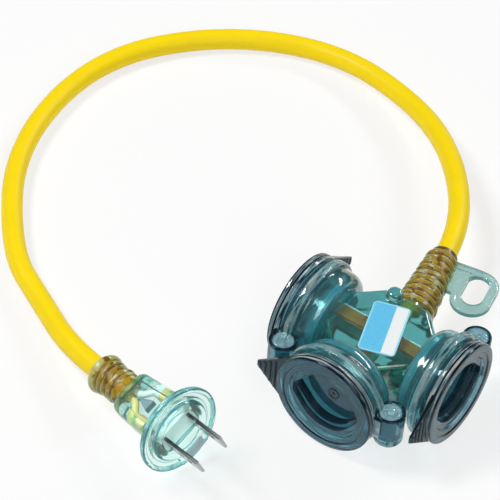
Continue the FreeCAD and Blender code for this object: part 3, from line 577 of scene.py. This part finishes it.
def slab(name, outline, low, high, edge=0.0, steps=4):
    """An outline pushed from low to high, with rounded rims."""
    centre = Vector((sum(x for x, _ in outline), sum(y for _, y in outline))) / len(outline)
    levels = [(low, 0.0), (high, 0.0)]
    if edge:
        turns = [math.pi / 2 * step / steps for step in range(steps + 1)]
        rim = [(edge * (1 - math.cos(turn)), edge * (1 - math.sin(turn))) for turn in turns]
        levels = [(low + rise, inset) for rise, inset in rim]
        levels += [(high - rise, inset) for rise, inset in reversed(rim)]
    rings = []
    for height, inset in levels:
        ring = []
        for x, y in outline:
            away = Vector((x, y)) - centre
            away *= 1 - inset / max(away.length, 1e-6)
            ring.append((centre.x + away.x, centre.y + away.y, height))
        rings.append(ring)
    return swept(name, rings)


def moved(thing, matrix):
    """The thing with its mesh moved, and its faces kept facing outwards."""
    thing.data.transform(matrix)
    if matrix.determinant() < 0:
        thing.data.flip_normals()
    return thing


def settled(thing):
    """The thing with its modifiers made part of its mesh."""
    bpy.context.view_layer.update()
    seen = thing.evaluated_get(bpy.context.evaluated_depsgraph_get())
    ready = bpy.data.meshes.new_from_object(seen)
    thing.modifiers.clear()
    thing.data = ready
    return thing


def combined(base, others, way="UNION"):
    """A solid with others added to it or cut from it."""
    for other in others:
        change = base.modifiers.new("combine", "BOOLEAN")
        change.operation = way
        change.solver = "EXACT"
        change.object = other
        settled(base)
        bpy.data.objects.remove(other)
    return base


def joined(parts):
    """Several meshes as one object."""
    bpy.ops.object.select_all(action="DESELECT")
    for part in parts:
        part.select_set(True)
    bpy.context.view_layer.objects.active = parts[0]
    bpy.ops.object.join()
    return bpy.context.object


def moulded(name, parts, voxel, rounds):
    """Solids melted into one moulding with soft inner corners."""
    whole = joined(parts)
    whole.name = name
    melt = whole.modifiers.new("melt", "REMESH")
    melt.mode = "VOXEL"
    melt.voxel_size = voxel
    soften = whole.modifiers.new("soften", "SMOOTH")
    soften.factor = 0.5
    soften.iterations = rounds
    return settled(whole)


def dressed(thing, slot, body, *replaced, angle=35, looks=()):
    """Finishes a piece: smooth shading, looks, body, slot and the nodes it stands for."""
    thing.data.materials.clear()
    for look in looks or (slot,):
        thing.data.materials.append(MATERIALS[look])
    thing.data.shade_smooth()
    if angle:
        thing.data.set_sharp_from_angle(angle=math.radians(angle))
    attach(thing, body)
    if replaced:
        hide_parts(*replaced)
    return thing


def painted(thing, looks, chosen):
    """Gives each face the look that chosen(middle, normal) names, out of the piece's looks."""
    for face in thing.data.polygons:
        face.material_index = looks.index(chosen(face.center, face.normal))


def from_outlet(side):
    """From an outlet's own axes (right, up, outwards) in millimetres to the part's frame."""
    turn = Matrix.Rotation(math.radians(SIDES[side]), 4, "Z")
    axes = Matrix(((MM, 0, 0, 0), (0, 0, -MM, 0), (0, MM, 0, 0), (0, 0, 0, 1)))
    return Matrix.Translation(TAP) @ turn @ axes


FROM_TAP = Matrix.Translation(TAP) @ Matrix.Scale(MM, 4)
UPRIGHT = Matrix.Rotation(-math.pi / 2, 4, "X")
ALONG_X = Matrix.Rotation(math.pi / 2, 4, "Y")

# The tap's boot leans to the west: its start, and its axes with +Z along it.
BOOT_LEAN = math.radians(12.5)
BOOT_START = Vector((0.5, 20.0, 0))
BOOT_AXES = Matrix((
    (math.cos(BOOT_LEAN), 0, -math.sin(BOOT_LEAN), BOOT_START.x),
    (math.sin(BOOT_LEAN), 0, math.cos(BOOT_LEAN), BOOT_START.y),
    (0, -1, 0, 0),
    (0, 0, 0, 1),
))

# The plug's place and turns: its +X runs along the blades.
PLUG_PLACE = (-0.0351, -0.09208, 0.0193)
PLUG_HEADING, PLUG_TILT, PLUG_ROLL = (math.radians(turn) for turn in (-12.5, -9, 24))
PLUG_TURN = Matrix.Rotation(PLUG_HEADING, 4, "Z") @ Matrix.Rotation(PLUG_TILT, 4, "Y")
PLUG_TURN = PLUG_TURN @ Matrix.Rotation(PLUG_ROLL, 4, "X")
FROM_PLUG = Matrix.Translation(PLUG_PLACE) @ PLUG_TURN @ Matrix.Scale(MM, 4)

# From here to the cord all sizes are in millimetres. Profiles are corners (radius, height,
# rounding), and in an outlet's axes the height is the distance from the tap's upright axis.
# A tilt is the share of a face's normal that points along its piece's axis.

# The hinge at an outlet's right, and the lug and pin that hold its ring.
HINGE_PLACE = Matrix.Translation((24.8, 0, 28.9))
HINGE_RADIUS = 5.9
LUG_LOW, LUG_HIGH = -9.1, -6.2
LUG_PROFILE = [
    (0, LUG_LOW, 0), (HINGE_RADIUS, LUG_LOW, 0.8), (HINGE_RADIUS, LUG_HIGH, 0.4),
    (0, LUG_HIGH, 0),
]
LUG_WEB = [(18, -31.4), (24.8, -31.4), (24.8, -24.4), (18, -24.4)]
PIN_PROFILE = [
    (0, LUG_LOW, 0), (2.95, LUG_LOW, 0.4), (2.95, 3.9, 0), (4.25, 3.9, 0.3),
    (4.25, 5.5, 0.6), (1.9, 5.5, 0.3), (1.3, 4.9, 0.3), (0, 4.9, 0),
]

# The clear moulding: cup, hub, the boot's root and the boss.
CUP_PROFILE = [
    (0, 15, 0), (11.0, 15, 0), (11.0, 19.5, 0), (20.5, 19.5, 6.0), (20.5, 27.6, 1.0),
    (22.5, 28.4, 0.8), (22.5, 32, 0.8), (17.2, 32, 0.4), (17.0, 21.5, 0.8), (0, 21.5, 0),
]
HUB_REACH = 19.5
HUB_CORNER = 9.77
HUB_HALF_HEIGHT = 12
HUB_EDGE = 2.5
ROOT_PROFILE = [(0, -9), (9.4, -9), (9.4, -2), (8.6, 3.2), (0, 3.2)]
BOSS_PLACE = Matrix.Translation((-5.5, 16.6, 0))
BOSS_PROFILE = [
    (0, 6, 0), (3.3, 6, 0), (3.3, 14.2, 1.0), (2.3, 15.1, 0.8), (0, 15.1, 0),
]
SHELL_VOXEL = 0.5

# Where a cup's looks are: its flange's side with painted highlight streaks, and the lines of
# painted shade behind the flange and round the mouth, each as a band of heights and one of
# radii.
CUP_SIDE = ((28.2, 31.8), (20.8, math.inf))
CUP_SHADE_LINES = (((27.3, 28.2), (20, math.inf)), ((31.7, 32.5), (16.8, 17.6)))


def cup(side):
    """The solids of one outlet cup: flange and rounded shoulder, the hinge's lug and its web."""
    place = from_outlet(side)
    body = moved(lathe("cup", rounded(CUP_PROFILE, steps=8), steps=128), place)
    lug = moved(lathe("lug", rounded(LUG_PROFILE), steps=64), place @ HINGE_PLACE @ UPRIGHT)
    web = moved(slab("web", LUG_WEB, LUG_LOW, LUG_HIGH), place @ UPRIGHT)
    return [body, lug, web]


def shell():
    """The clear moulding: hub, three cups, the boot's root and a small boss."""
    reach, corner = HUB_REACH, HUB_CORNER
    outline = [
        (reach, -corner), (reach, corner), (corner, reach), (-corner, reach),
        (-reach, corner), (-reach, -corner), (-corner, -reach), (corner, -reach),
    ]
    hub = slab("hub", outline, -HUB_HALF_HEIGHT, HUB_HALF_HEIGHT, edge=HUB_EDGE)
    parts = [moved(hub, FROM_TAP)]
    for side in SIDES:
        parts += cup(side)
    parts.append(moved(lathe("root", ROOT_PROFILE, steps=64), FROM_TAP @ BOOT_AXES))
    parts.append(moved(lathe("boss", rounded(BOSS_PROFILE), steps=48), FROM_TAP @ BOSS_PLACE))
    whole = moulded("tap_shell", parts, SHELL_VOXEL * MM, rounds=3)
    replaced = ["tap_hub", *[f"outlet_cup_{side}" for side in SIDES]]
    looks = ("clear_teal", "cup_x", "cup_y", "cup_line")
    dressed(whole, "clear_teal", "tap", *replaced, angle=0, looks=looks)
    inwards = {side: from_outlet(side).inverted() for side in SIDES}

    def chosen(middle, _):
        look = "clear_teal"
        for side, inward in inwards.items():
            across, up, height = inward @ middle
            radius = math.hypot(across, up)
            on_side, *on_shade_lines = (
                within(height, heights) and within(radius, radii)
                for heights, radii in (CUP_SIDE, *CUP_SHADE_LINES)
            )
            if on_side:
                look = f"cup_{FACES_ALONG[side]}"
            elif any(on_shade_lines):
                look = "cup_line"
        return look

    painted(whole, looks, chosen)


# A lid: its disc, its dish as two cuts (radius, floor, how much smaller) with two ears, the
# bridge to the hinge's ring, the ring, and the gate's mark in the middle.
LID_PROFILE = [
    (0, 29.4, 0), (16.3, 29.4, 0.6), (16.3, 32.3, 0), (20.3, 32.3, 0.3), (20.3, 33.9, 0.3),
    (21.6, 34.1, 0.3), (22.0, 35.9, 0.3), (21.3, 36.3, 0.2), (22.0, 36.8, 0.2),
    (22.0, 38.8, 0.9), (18.7, 38.8, 0.3), (18.3, 38.25, 0.2), (16.4, 38.3, 0.3),
    (15.7, 37.2, 0.3), (0, 37.2, 0),
]
EAR_REACH = 15.2
EAR_TURN = 0.05
EAR_SHARPNESS = 5
DISH_CUTS = ((13.2, 34.8, 0.0), (12.6, 31.0, 0.7))
DISH_TOP = 40
DISH_TURN_STEPS = 120
BRIDGE = [(18, 5.0), (18, -5.0), (24.8, -5.0), (24.8, 5.0)]
BRIDGE_BACK, BRIDGE_FRONT = 33.0, 35.5
RING_PROFILE = [
    (0, -5.8, 0), (HINGE_RADIUS, -5.8, 0.7), (HINGE_RADIUS, 5.8, 0.7), (4.7, 5.8, 0.3),
    (4.7, 3.7, 0.1), (0, 3.7, 0),
]
BORE_PROFILE = [(0, -7), (3.05, -7), (3.05, 7), (0, 7)]
GATE_PROFILE = [(0, 30.6, 0), (0.8, 30.6, 0), (0.8, 31.3, 0.15), (0, 31.3, 0)]
GATE_CIRCLE = [(2.0, 30.6), (2.6, 30.6), (2.6, 31.25), (2.0, 31.25), (2.0, 30.6)]

# The pull tab, tapered as in the part's source: x, half height, back and front.
TAB_TIP = -32.4
TAB_LEVELS = (
    (-14.9, 15.3, 35.1, 37.3), (-32.0, 1.6, 35.78, 36.81), (TAB_TIP, 1.3, 35.95, 36.65),
)
TAB_CHAMFER = 0.25

# The tab's ribs, from the tip on: their x, half lengths and heights, in front and behind,
# each as the first rib's value and what it grows by.
TAB_RIBS = 4
RIB_X = (-30.96, 2.4)
RIB_HALF = (1.56, 1.93)
RIB_HEIGHTS = ((36.84, 0.07), (36.0, -0.09))
RIB_RADIUS = 0.6

# Where a lid's looks are: radii, heights and tilts, for the ring and the tab x and y, and
# the heights between which the tab has no ribs, at its tip and what they grow by along x.
LID_RIM = (21.2, 22.2)
LID_RIM_FRONT = 38.0
LID_RIM_STEP = (36.0, 36.7)
LID_RIM_BACK = 34.3
LID_RIM_TILT = 0.95
LID_SIDE = ((20.5, 22.2), (34.2, 38.1))
LID_GROOVE = (18.2, 18.9)
LID_GROOVE_FROM = 38
DISH_RADIUS = 17
DISH_FROM = 31.4
DISH_WALL_TILT = 0.5
MARK_RADIUS = 2.7
MARK_FROM = 31.02
RING_FROM_X = 22.4
RING_TOP = 4.9
TAB_UP_TO_X = -22.3
TAB_SKIN = ((35.68, -0.039), (36.97, 0.0286))


def recess(small, low, shrink):
    """What a lid's dish takes away: round, with two ears."""
    ring = []
    for n in range(DISH_TURN_STEPS):
        turn = math.tau * n / DISH_TURN_STEPS
        ear = max(0, math.cos(2 * (turn - EAR_TURN))) ** EAR_SHARPNESS
        size = small - shrink + (EAR_REACH - small) * ear
        ring.append((size * math.cos(turn), size * math.sin(turn)))
    return slab("recess", ring, low, DISH_TOP)


def pull_tab():
    """A lid's tab, with ribs across its front and its back."""
    levels = []
    for x, half, back, front in TAB_LEVELS:
        corners = [(-half, back), (half, back), (half, front), (-half, front)]
        level = []
        for (a, b), (da, db) in zip(corners, ((1, 1), (-1, 1), (-1, -1), (1, -1))):
            cut = ((a, b + TAB_CHAMFER * db), (a + TAB_CHAMFER * da, b))
            level += cut if da == db else reversed(cut)
        levels.append([(x, a, b) for a, b in level])
    pieces = [swept("tab", levels)]
    for n in range(TAB_RIBS):
        half = grown(RIB_HALF, n)
        profile = rounded([
            (0, -half, 0), (RIB_RADIUS, -half, 0.3), (RIB_RADIUS, half, 0.3), (0, half, 0),
        ])
        for height in RIB_HEIGHTS:
            place = Matrix.Translation((grown(RIB_X, n), 0, grown(height, n)))
            pieces.append(moved(lathe("rib", profile, steps=16), place @ UPRIGHT))
    return pieces


def lid_look(streaked):
    """What tells the look of a lid's face: painted shade on edges and hollows, painted streaks
    on its side, the tab.
    """
    def chosen(middle, normal):
        x, y, z = middle
        radius = math.hypot(x, y)
        tilt = abs(normal.z)
        edges = z > LID_RIM_FRONT or within(z, LID_RIM_STEP) or z < LID_RIM_BACK
        rim = within(radius, LID_RIM) and edges and tilt < LID_RIM_TILT
        groove = within(radius, LID_GROOVE) and z > LID_GROOVE_FROM
        wall = radius < DISH_RADIUS and tilt < DISH_WALL_TILT and z > DISH_FROM
        ring = x > RING_FROM_X and y > RING_TOP
        mark = radius < MARK_RADIUS and z > MARK_FROM
        on_tab = x < TAB_UP_TO_X
        rib = on_tab and not within(z, [grown(height, x - TAB_TIP) for height in TAB_SKIN])
        # Painted shade on rim edges, groove, dish wall, ring top, tab ribs and gate mark.
        if rim or groove or wall or ring or rib or mark:
            return "smoke_edge"
        if within(radius, LID_SIDE[0]) and within(z, LID_SIDE[1]):
            return streaked
        return "smoke_tab" if on_tab else "smoke_lid"

    return chosen


def lid(side):
    """A smoke lid: dished disc, hinge ring, bridge and ridged tab."""
    disc = lathe("disc", rounded(LID_PROFILE, steps=4), steps=128)
    at_hinge = HINGE_PLACE @ UPRIGHT
    ring = moved(lathe("ring", rounded(RING_PROFILE), steps=64), at_hinge)
    bridge = slab("bridge", BRIDGE, BRIDGE_BACK, BRIDGE_FRONT, edge=0.5)
    tab = pull_tab()
    whole = combined(disc, [recess(*cut) for cut in DISH_CUTS], "DIFFERENCE")
    gate = lathe("gate", rounded(GATE_PROFILE), steps=24)
    circle = lathe("circle", GATE_CIRCLE, steps=48, ends=False)
    whole = combined(whole, [bridge, ring, *tab, gate, circle])
    bore = moved(lathe("bore", BORE_PROFILE, steps=48), at_hinge)
    whole = combined(whole, [bore], "DIFFERENCE")
    whole.name = f"smoke_lid_{side}"
    streaked = f"rim_{FACES_ALONG[side]}"
    looks = ("smoke_lid", "smoke_edge", streaked, "smoke_tab")
    dressed(whole, "smoke_lid", f"lid_{side}", f"lid_{side}", looks=looks)
    painted(whole, looks, lid_look(streaked))
    moved(whole, from_outlet(side))


def hinge_pin(side):
    """A headed pin with a dimple in its domed head."""
    pin = lathe(f"clear_pin_{side}", rounded(PIN_PROFILE), steps=48)
    moved(pin, from_outlet(side) @ HINGE_PLACE @ UPRIGHT)
    dressed(pin, "clear_teal", "tap", f"hinge_pin_{side}", looks=("pin_clear",))


# Boots along +Z: start, end, and the core's radius at each. Their ribs wave, each one out
# of step with the last, and thin out in two places. The plug's boot has a collar, given by
# its middle and radius, and looks of its own at the collar and at its orange end.
BOOT_STEP = 0.28
BOOT_TURN_STEPS = 96
BOOT_RIB_RADIUS = 1.15
RIB_WAVE, RIB_WAVE_SHIFT = 0.28, 1.9
RIB_THINNING, RIB_THINNING_SHARPNESS = 0.45, 6
TAP_BOOT = (2.8, 38.5, (7.8, 5.6))
TAP_BOOT_RIBS = [grown((5.2, 3.3), n) for n in range(10)]
PLUG_BOOT = (-48.3, -30.5, (6.6, 6.2))
PLUG_BOOT_RIBS = [grown((-42.7, 3.0), n) for n in range(4)]
PLUG_COLLAR = (-46.2, 1.8)
PLUG_BOOT_ENDS = (-44.7, -33.2)
GROOVE_DEPTH = 0.3
GROOVE_TILT = 0.9


def core_size(boot, z):
    """The radius of a boot's core at a height."""
    start, end, core = boot
    share = (z - start) / (end - start)
    return core[0] + (core[1] - core[0]) * share


def boot_rings(boot, ribs, collar=None):
    """Rings of a ribbed boot along +Z."""
    start, end, _ = boot
    rings = []
    steps = round((end - start) / BOOT_STEP)
    for level in range(steps + 1):
        z = start + (end - start) * level / steps
        ring = []
        for n in range(BOOT_TURN_STEPS):
            turn = math.tau * n / BOOT_TURN_STEPS
            bulge = 0
            for number, rib in enumerate(ribs):
                centre = rib + RIB_WAVE * math.sin(2 * turn + RIB_WAVE_SHIFT * number)
                off = (z - centre) / BOOT_RIB_RADIUS
                if abs(off) < 1:
                    thin = max(0, math.cos(2 * turn + math.pi * (number % 2)))
                    thick = 1 - RIB_THINNING * thin ** RIB_THINNING_SHARPNESS
                    bulge = max(bulge, BOOT_RIB_RADIUS * thick * math.sqrt(1 - off * off))
            if collar:
                middle, radius = collar
                off = (z - middle) / radius
                if abs(off) < 1:
                    bulge = max(bulge, radius * math.sqrt(1 - off * off))
            size = core_size(boot, z) + bulge
            ring.append((size * math.cos(turn), size * math.sin(turn), z))
        rings.append(ring)
    return rings


def boot_look(boot, ends=(-math.inf, math.inf)):
    """What tells the look of a boot's face: its ribs, painted shade in its grooves, its collar
    and its end.
    """
    def chosen(middle, normal):
        x, y, z = middle
        if z < ends[0]:
            return "boot_cream"
        if z > ends[1]:
            return "boot_orange"
        low = math.hypot(x, y) < core_size(boot, z) + GROOVE_DEPTH
        return "boot_groove" if low and abs(normal.z) < GROOVE_TILT else "boot_teal"

    return chosen


def tap_boot():
    """The tap's boot: clear ribbed plastic round the yellow sheath."""
    boot = swept("ribbed_boot", boot_rings(TAP_BOOT, TAP_BOOT_RIBS))
    looks = ("boot_teal", "boot_groove")
    dressed(boot, "clear_teal", "tap", "tap_boot", angle=0, looks=looks)
    painted(boot, looks, boot_look(TAP_BOOT))
    moved(boot, FROM_TAP @ BOOT_AXES)


# The eyelet lies in the plane of the boot's axis. Its oval and its hole are given by their
# middle (out, along), radius and straight length, and the two beads by the oval's radius
# that they follow and their own radius.
EYELET_MIDDLE, EYELET_RADIUS, EYELET_LENGTH = (18.2, 24.6), 8.5, 8.0
HOLE_MIDDLE, HOLE_RADIUS, HOLE_LENGTH = (18.2, 25.7), 4.4, 7.2
OUTER_BEAD = (7.1, 1.45)
INNER_BEAD = (5.5, 1.1)
EYELET_HALF = 1.1
EYELET_WEB = [(4.5, 37.0), (4.5, 20.5), (11.0, 20.5), (18.2, 24.0), (18.2, 37.0)]
EYELET_TOP = [(4.5, 37.1), (4.5, 34.9), (18.2, 34.9), (18.2, 37.1)]
EYELET_TOP_HALF = 1.45
EYELET_EDGE_TILT = 0.65
EYELET_VOXEL = 0.3
OVAL_STEPS = 24
BEAD_STEPS = 12


def oval(middle, radius, length):
    """An oval's outline in the boot's own plane."""
    out, along = middle
    spots = []
    for n in range(2 * OVAL_STEPS):
        turn = math.pi * n / OVAL_STEPS
        shift = length / 2 if turn < math.pi else -length / 2
        spots.append((out + radius * math.cos(turn), along + shift + radius * math.sin(turn)))
    return spots


def bead(outline, thick):
    """A round bar along a closed outline."""
    rings = []
    count = len(outline)
    for n in range(count):
        here = Vector(outline[n])
        way = (Vector(outline[(n + 1) % count]) - Vector(outline[n - 1])).normalized()
        side = Vector((way.y, -way.x))
        turns = [math.tau * k / BEAD_STEPS for k in range(BEAD_STEPS)]
        rings.append([
            (*(here + side * thick * math.cos(turn)), thick * math.sin(turn)) for turn in turns
        ])
    rings.append(rings[0])
    return swept("bead", rings, ends=False)


def eyelet():
    """The hanging eyelet: a flat web that ends in an oval ring with raised rims."""
    outer = oval(EYELET_MIDDLE, EYELET_RADIUS, EYELET_LENGTH)
    inner = oval(HOLE_MIDDLE, HOLE_RADIUS, HOLE_LENGTH)
    plate = slab("plate", outer, -EYELET_HALF, EYELET_HALF)
    web = slab("web", EYELET_WEB, -EYELET_HALF, EYELET_HALF)
    whole = combined(plate, [web])
    whole = combined(whole, [slab("gap", inner, -3, 3)], "DIFFERENCE")
    beads = [
        bead(oval(EYELET_MIDDLE, OUTER_BEAD[0], EYELET_LENGTH), OUTER_BEAD[1]),
        bead(oval(HOLE_MIDDLE, INNER_BEAD[0], HOLE_LENGTH), INNER_BEAD[1]),
    ]
    top = slab("top", EYELET_TOP, -EYELET_TOP_HALF, EYELET_TOP_HALF, edge=0.8)
    whole = moulded("eyelet", [whole, top, *beads], EYELET_VOXEL, rounds=3)
    flat = Matrix.Translation(BOOT_START) @ Matrix.Rotation(BOOT_LEAN, 4, "Z")
    moved(whole, FROM_TAP @ flat)
    looks = ("eyelet_teal", "eyelet_edge")
    dressed(whole, "clear_teal", "tap", "hanging_eyelet", angle=0, looks=looks)

    # Painted shade on the steep faces along the rims.
    def chosen(_, normal):
        return "eyelet_edge" if abs(normal.z) < EYELET_EDGE_TILT else "eyelet_teal"

    painted(whole, looks, chosen)


# The rounding of the brass strips' and the blades' edges, and how far up a blade's faces
# get a painted dark reflection.
BRASS_EDGE = 0.15
BLADE_EDGE = 0.2
BLADE_TOP_TILT = 0.8


def reworked(node, name, edge):
    """A copy of a node's mesh with clean faces and rounded edges, in the node's place."""
    source = nodes[node]
    piece = new_object(name, source.data.copy())
    piece.matrix_world = source.matrix_world
    work = bmesh.new()
    work.from_mesh(piece.data)
    bmesh.ops.remove_doubles(work, verts=work.verts, dist=1e-6)
    flat = math.radians(2)
    bmesh.ops.dissolve_limit(work, angle_limit=flat, verts=work.verts, edges=work.edges)
    work.to_mesh(piece.data)
    work.free()
    soften = piece.modifiers.new("soften", "BEVEL")
    soften.width = edge * MM
    soften.segments = 3
    soften.limit_method = "ANGLE"
    soften.angle_limit = math.radians(40)
    settled(piece)
    return dressed(piece, SLOTS[node], "tap", node)


def blade(hand):
    """A plug's blade whose upper side is painted dark, a painted reflection of a dark room."""
    piece = reworked(f"plug_blade_{hand}", f"blade_{hand}", BLADE_EDGE)
    up = FROM_PLUG.to_3x3().normalized() @ Vector((0, 0, 1))
    turn = piece.matrix_world.to_3x3().normalized()
    piece.data.materials.append(MATERIALS["dark_nickel"])
    for face in piece.data.polygons:
        if (turn @ face.normal).dot(up) > BLADE_TOP_TILT:
            face.material_index = 1
    return piece


# The plug, with +X along its blades: the flange turned about that axis, the body's squarish
# rings, which draw in at the end, the pad under the panel, and shallow windows on two sides.
# BODY_HALVES are its half width and thickness in front and what each grows by.
FLANGE_PROFILE = [
    (0, -4, 0), (18.3, -4, 1.7), (18.3, -0.9, 1.0), (16.6, -0.9, 0.5), (16.0, -2.2, 0.4),
    (14.4, -2.3, 0.4), (14.1, -1.4, 0.3), (13.1, -1.4, 0.3), (12.6, -0.2, 0.5),
    (9.6, 0, 0.3), (9.3, -0.5, 0.2), (0, -0.5, 0),
]
BODY_FRONT = -3.0
BODY_LENGTH = 28.0
BODY_RINGS = 40
BODY_TURN_STEPS = 96
BODY_HALVES = ((11.25, -1.9), (7.5, -1.0))
BODY_SQUARENESS = 3.4
END_FROM = -28
END_LENGTH = 3.2
END_LEAST = 0.02
END_INSET = 2.6
PAD = [(-7.0, 9.5), (7.0, 9.5), (7.0, 17.2), (-7.0, 17.2)]
PAD_BACK, PAD_FRONT = -3.6, -0.9
PAD_AXES = Matrix(((0, 0, 1, 0), (1, 0, 0, 0), (0, -1, 0, 0), (0, 0, 0, 1)))
WINDOW = [(-27.5, -5.4), (-7.5, -6.8), (-7.5, 6.8), (-27.5, 5.4)]
WINDOW_FLOOR, WINDOW_TOP = 5.0, 9.0
PLUG_VOXEL = 0.4

# Where the plug's looks are: radii about its axis, x, y and z, and tilts.
FLANGE_SIDE_FROM = 16.6
FLANGE_SIDE_TILT = 0.8
FLANGE_RIM_FROM = 17.6
FLANGE_SIDE_X = (-3.6, -1.5)
NOSE_LINE = (12.4, 13.0)
NOSE_LINE_FROM = -1.4
WINDOW_X = (-28, -7)
WINDOW_HALF = 7.2
WINDOW_WALL_FROM = 4.8
WINDOW_WALL_TILT = 0.4
BODY_UP_TO = -4.2
BODY_SIDE_FROM = 6.9
BODY_END_UP_TO = -27.6


def body_rings():
    """Rings of the plug's body, narrower towards its rounded end."""
    rings = []
    for level in range(BODY_RINGS + 1):
        x = BODY_FRONT - BODY_LENGTH * level / BODY_RINGS
        share = (BODY_FRONT - x) / BODY_LENGTH
        width, thick = (grown(half, share) for half in BODY_HALVES)
        if x < END_FROM:
            tight = math.sqrt(max(END_LEAST, 1 - ((END_FROM - x) / END_LENGTH) ** 2))
            width -= END_INSET * (1 - tight)
            thick -= END_INSET * (1 - tight)
        ring = []
        for c, s in round_points(1, BODY_TURN_STEPS):
            power = BODY_SQUARENESS
            size = (abs(c) ** power + abs(s) ** power) ** (-1 / power)
            ring.append((x, width * size * c, thick * size * s))
        rings.append(ring)
    return rings


def plug_look(middle, normal):
    """The look of a face of the plug's body."""
    x, y, z = middle
    radius = math.hypot(y, z)
    rim = radius > FLANGE_RIM_FROM and (x > FLANGE_SIDE_X[1] or x < FLANGE_SIDE_X[0])
    nose = within(radius, NOSE_LINE) and x > NOSE_LINE_FROM
    at_window = within(x, WINDOW_X) and abs(y) < WINDOW_HALF and abs(z) > WINDOW_WALL_FROM
    # Painted shade on the flange's rims, the nose line and the window walls.
    if rim or nose or at_window and abs(normal.z) < WINDOW_WALL_TILT:
        return "aqua_edge"
    if x < BODY_UP_TO and (abs(y) > BODY_SIDE_FROM or x < BODY_END_UP_TO):
        return "aqua_body"
    side = radius > FLANGE_SIDE_FROM and abs(normal.x) < FLANGE_SIDE_TILT
    return "aqua_side" if side else "clear_aqua"


def plug_body():
    """The clear plug: flange with rings, body with a shallow window, round end."""
    flange = moved(lathe("flange", rounded(FLANGE_PROFILE), steps=128), ALONG_X)
    body = swept("body", body_rings())
    pad = moved(slab("pad", PAD, PAD_BACK, PAD_FRONT, edge=0.4), PAD_AXES)
    whole = moulded("clear_plug", [flange, body, pad], PLUG_VOXEL, rounds=2)
    windows = []
    for way in (1, -1):
        window = slab("window", WINDOW, WINDOW_FLOOR, WINDOW_TOP, edge=0.6)
        windows.append(moved(window, Matrix.Scale(way, 4, (0, 0, 1))))
    whole = combined(whole, [joined(windows)], "DIFFERENCE")
    looks = ("clear_aqua", "aqua_side", "aqua_edge", "aqua_body")
    dressed(whole, "clear_aqua", "tap", "plug_body", angle=40, looks=looks)
    painted(whole, looks, plug_look)
    return moved(whole, FROM_PLUG)


def plug_boot():
    """The plug's ribbed boot with a collar where the cord enters."""
    boot = swept("plug_ribs", boot_rings(PLUG_BOOT, PLUG_BOOT_RIBS, PLUG_COLLAR))
    looks = ("boot_teal", "boot_groove", "boot_cream", "boot_orange")
    dressed(boot, "clear_aqua", "tap", "plug_boot", angle=0, looks=looks)
    painted(boot, looks, boot_look(PLUG_BOOT, PLUG_BOOT_ENDS))
    return moved(boot, FROM_PLUG @ ALONG_X)


def free_cord():
    """The free cord, one smooth line between its two boots."""
    curve = bpy.data.curves.new("free_cord", "CURVE")
    curve.dimensions = "3D"
    curve.resolution_u = 24
    curve.bevel_depth = CORD_DIAMETER / 2
    curve.bevel_resolution = 8
    curve.use_fill_caps = True
    line = curve.splines.new("NURBS")
    line.points.add(len(CORD_ROUTE) - 1)
    for point, place in zip(line.points, CORD_ROUTE):
        point.co = (*place, 1)
    line.order_u = 3
    line.use_endpoint_u = True
    piece = new_object("free_cord", curve)
    curve.materials.append(MATERIALS["yellow_sheath"])
    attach(piece, "tap")
    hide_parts("cord")


def camera():
    """Looks at the object from the photograph's side."""
    heading = math.radians(CAMERA_HEADING)
    elevation = math.radians(CAMERA_ELEVATION)
    roll = math.radians(CAMERA_ROLL)
    back = Vector((
        math.sin(heading) * math.cos(elevation),
        -math.cos(heading) * math.cos(elevation),
        math.sin(elevation),
    ))
    level = Vector((math.cos(heading), math.sin(heading), 0))
    upward = back.cross(level)
    right = level * math.cos(roll) + upward * math.sin(roll)
    up = upward * math.cos(roll) - level * math.sin(roll)
    data = bpy.data.cameras.new("camera")
    data.lens = data.sensor_width * FOCAL_PIXELS / PHOTO_SIZE
    data.clip_start, data.clip_end = CAMERA_CLIP
    thing = new_object("camera", data)
    turn = Matrix((right, up, back)).transposed().to_4x4()
    thing.matrix_world = Matrix.Translation(CAMERA_TARGET + back * CAMERA_DISTANCE) @ turn
    bpy.context.scene.camera = thing


def studio():
    """A pale floor, a white surround and soft lamps."""
    scene = bpy.context.scene
    scene.view_settings.view_transform = "Standard"
    world = bpy.data.worlds.new("studio")
    scene.world = world
    world.use_nodes = True
    surround = Nodes(world.node_tree)
    level = surround.add("MapRange", To_Min=SURROUND_LIGHT, To_Max=1.0)
    surround.link(surround.seen_straight(), level.inputs["Value"])
    background = surround.tree.nodes["Background"]
    surround.link(level.outputs["Result"], background.inputs["Strength"])

    bpy.ops.mesh.primitive_plane_add(size=FLOOR_SIZE, location=(0, 0, -FLOOR_GAP))
    floor = bpy.context.object
    floor.name = "floor"
    look = Look("floor_look", Base_Color=(0.9, 0.9, 0.9, 1), Roughness=0.9)
    glow = look.add("Emission", Color=rgba(WHITE), Strength=1.0)
    share = look.math("MULTIPLY", look.seen_straight(), FLOOR_WHITE)
    look.or_else(share, glow.outputs["Emission"])
    floor.data.materials.append(look.material)

    for name, place, size, power in LAMPS:
        data = bpy.data.lights.new(name, "AREA")
        data.shape = "RECTANGLE"
        data.size, data.size_y = size
        data.energy = power
        lamp = new_object(name, data)
        lamp.location = place
        lamp.rotation_euler = (TAP - Vector(place)).to_track_quat("-Z", "Y").to_euler()


shell()
for outlet in SIDES:
    lid(outlet)
    hinge_pin(outlet)
    for pole in ("upper", "lower"):
        strip = reworked(f"{pole}_contact_{outlet}", f"brass_{pole}_{outlet}", BRASS_EDGE)
        # The lower strips get brass darkened as painted shade.
        if pole == "lower":
            strip.data.materials[0] = MATERIALS["dim_brass"]
for pole in ("upper", "lower"):
    bar = reworked(f"{pole}_bus", f"brass_bar_{pole}", BRASS_EDGE)
    # The lower bar gets brass lightened green as painted light.
    if pole == "lower":
        bar.data.materials[0] = MATERIALS["bus_brass"]
tap_boot()
eyelet()
PLUG_PIECES = [plug_body(), plug_boot(), *[blade(hand) for hand in ("left", "right")]]
free_cord()
camera()
studio()
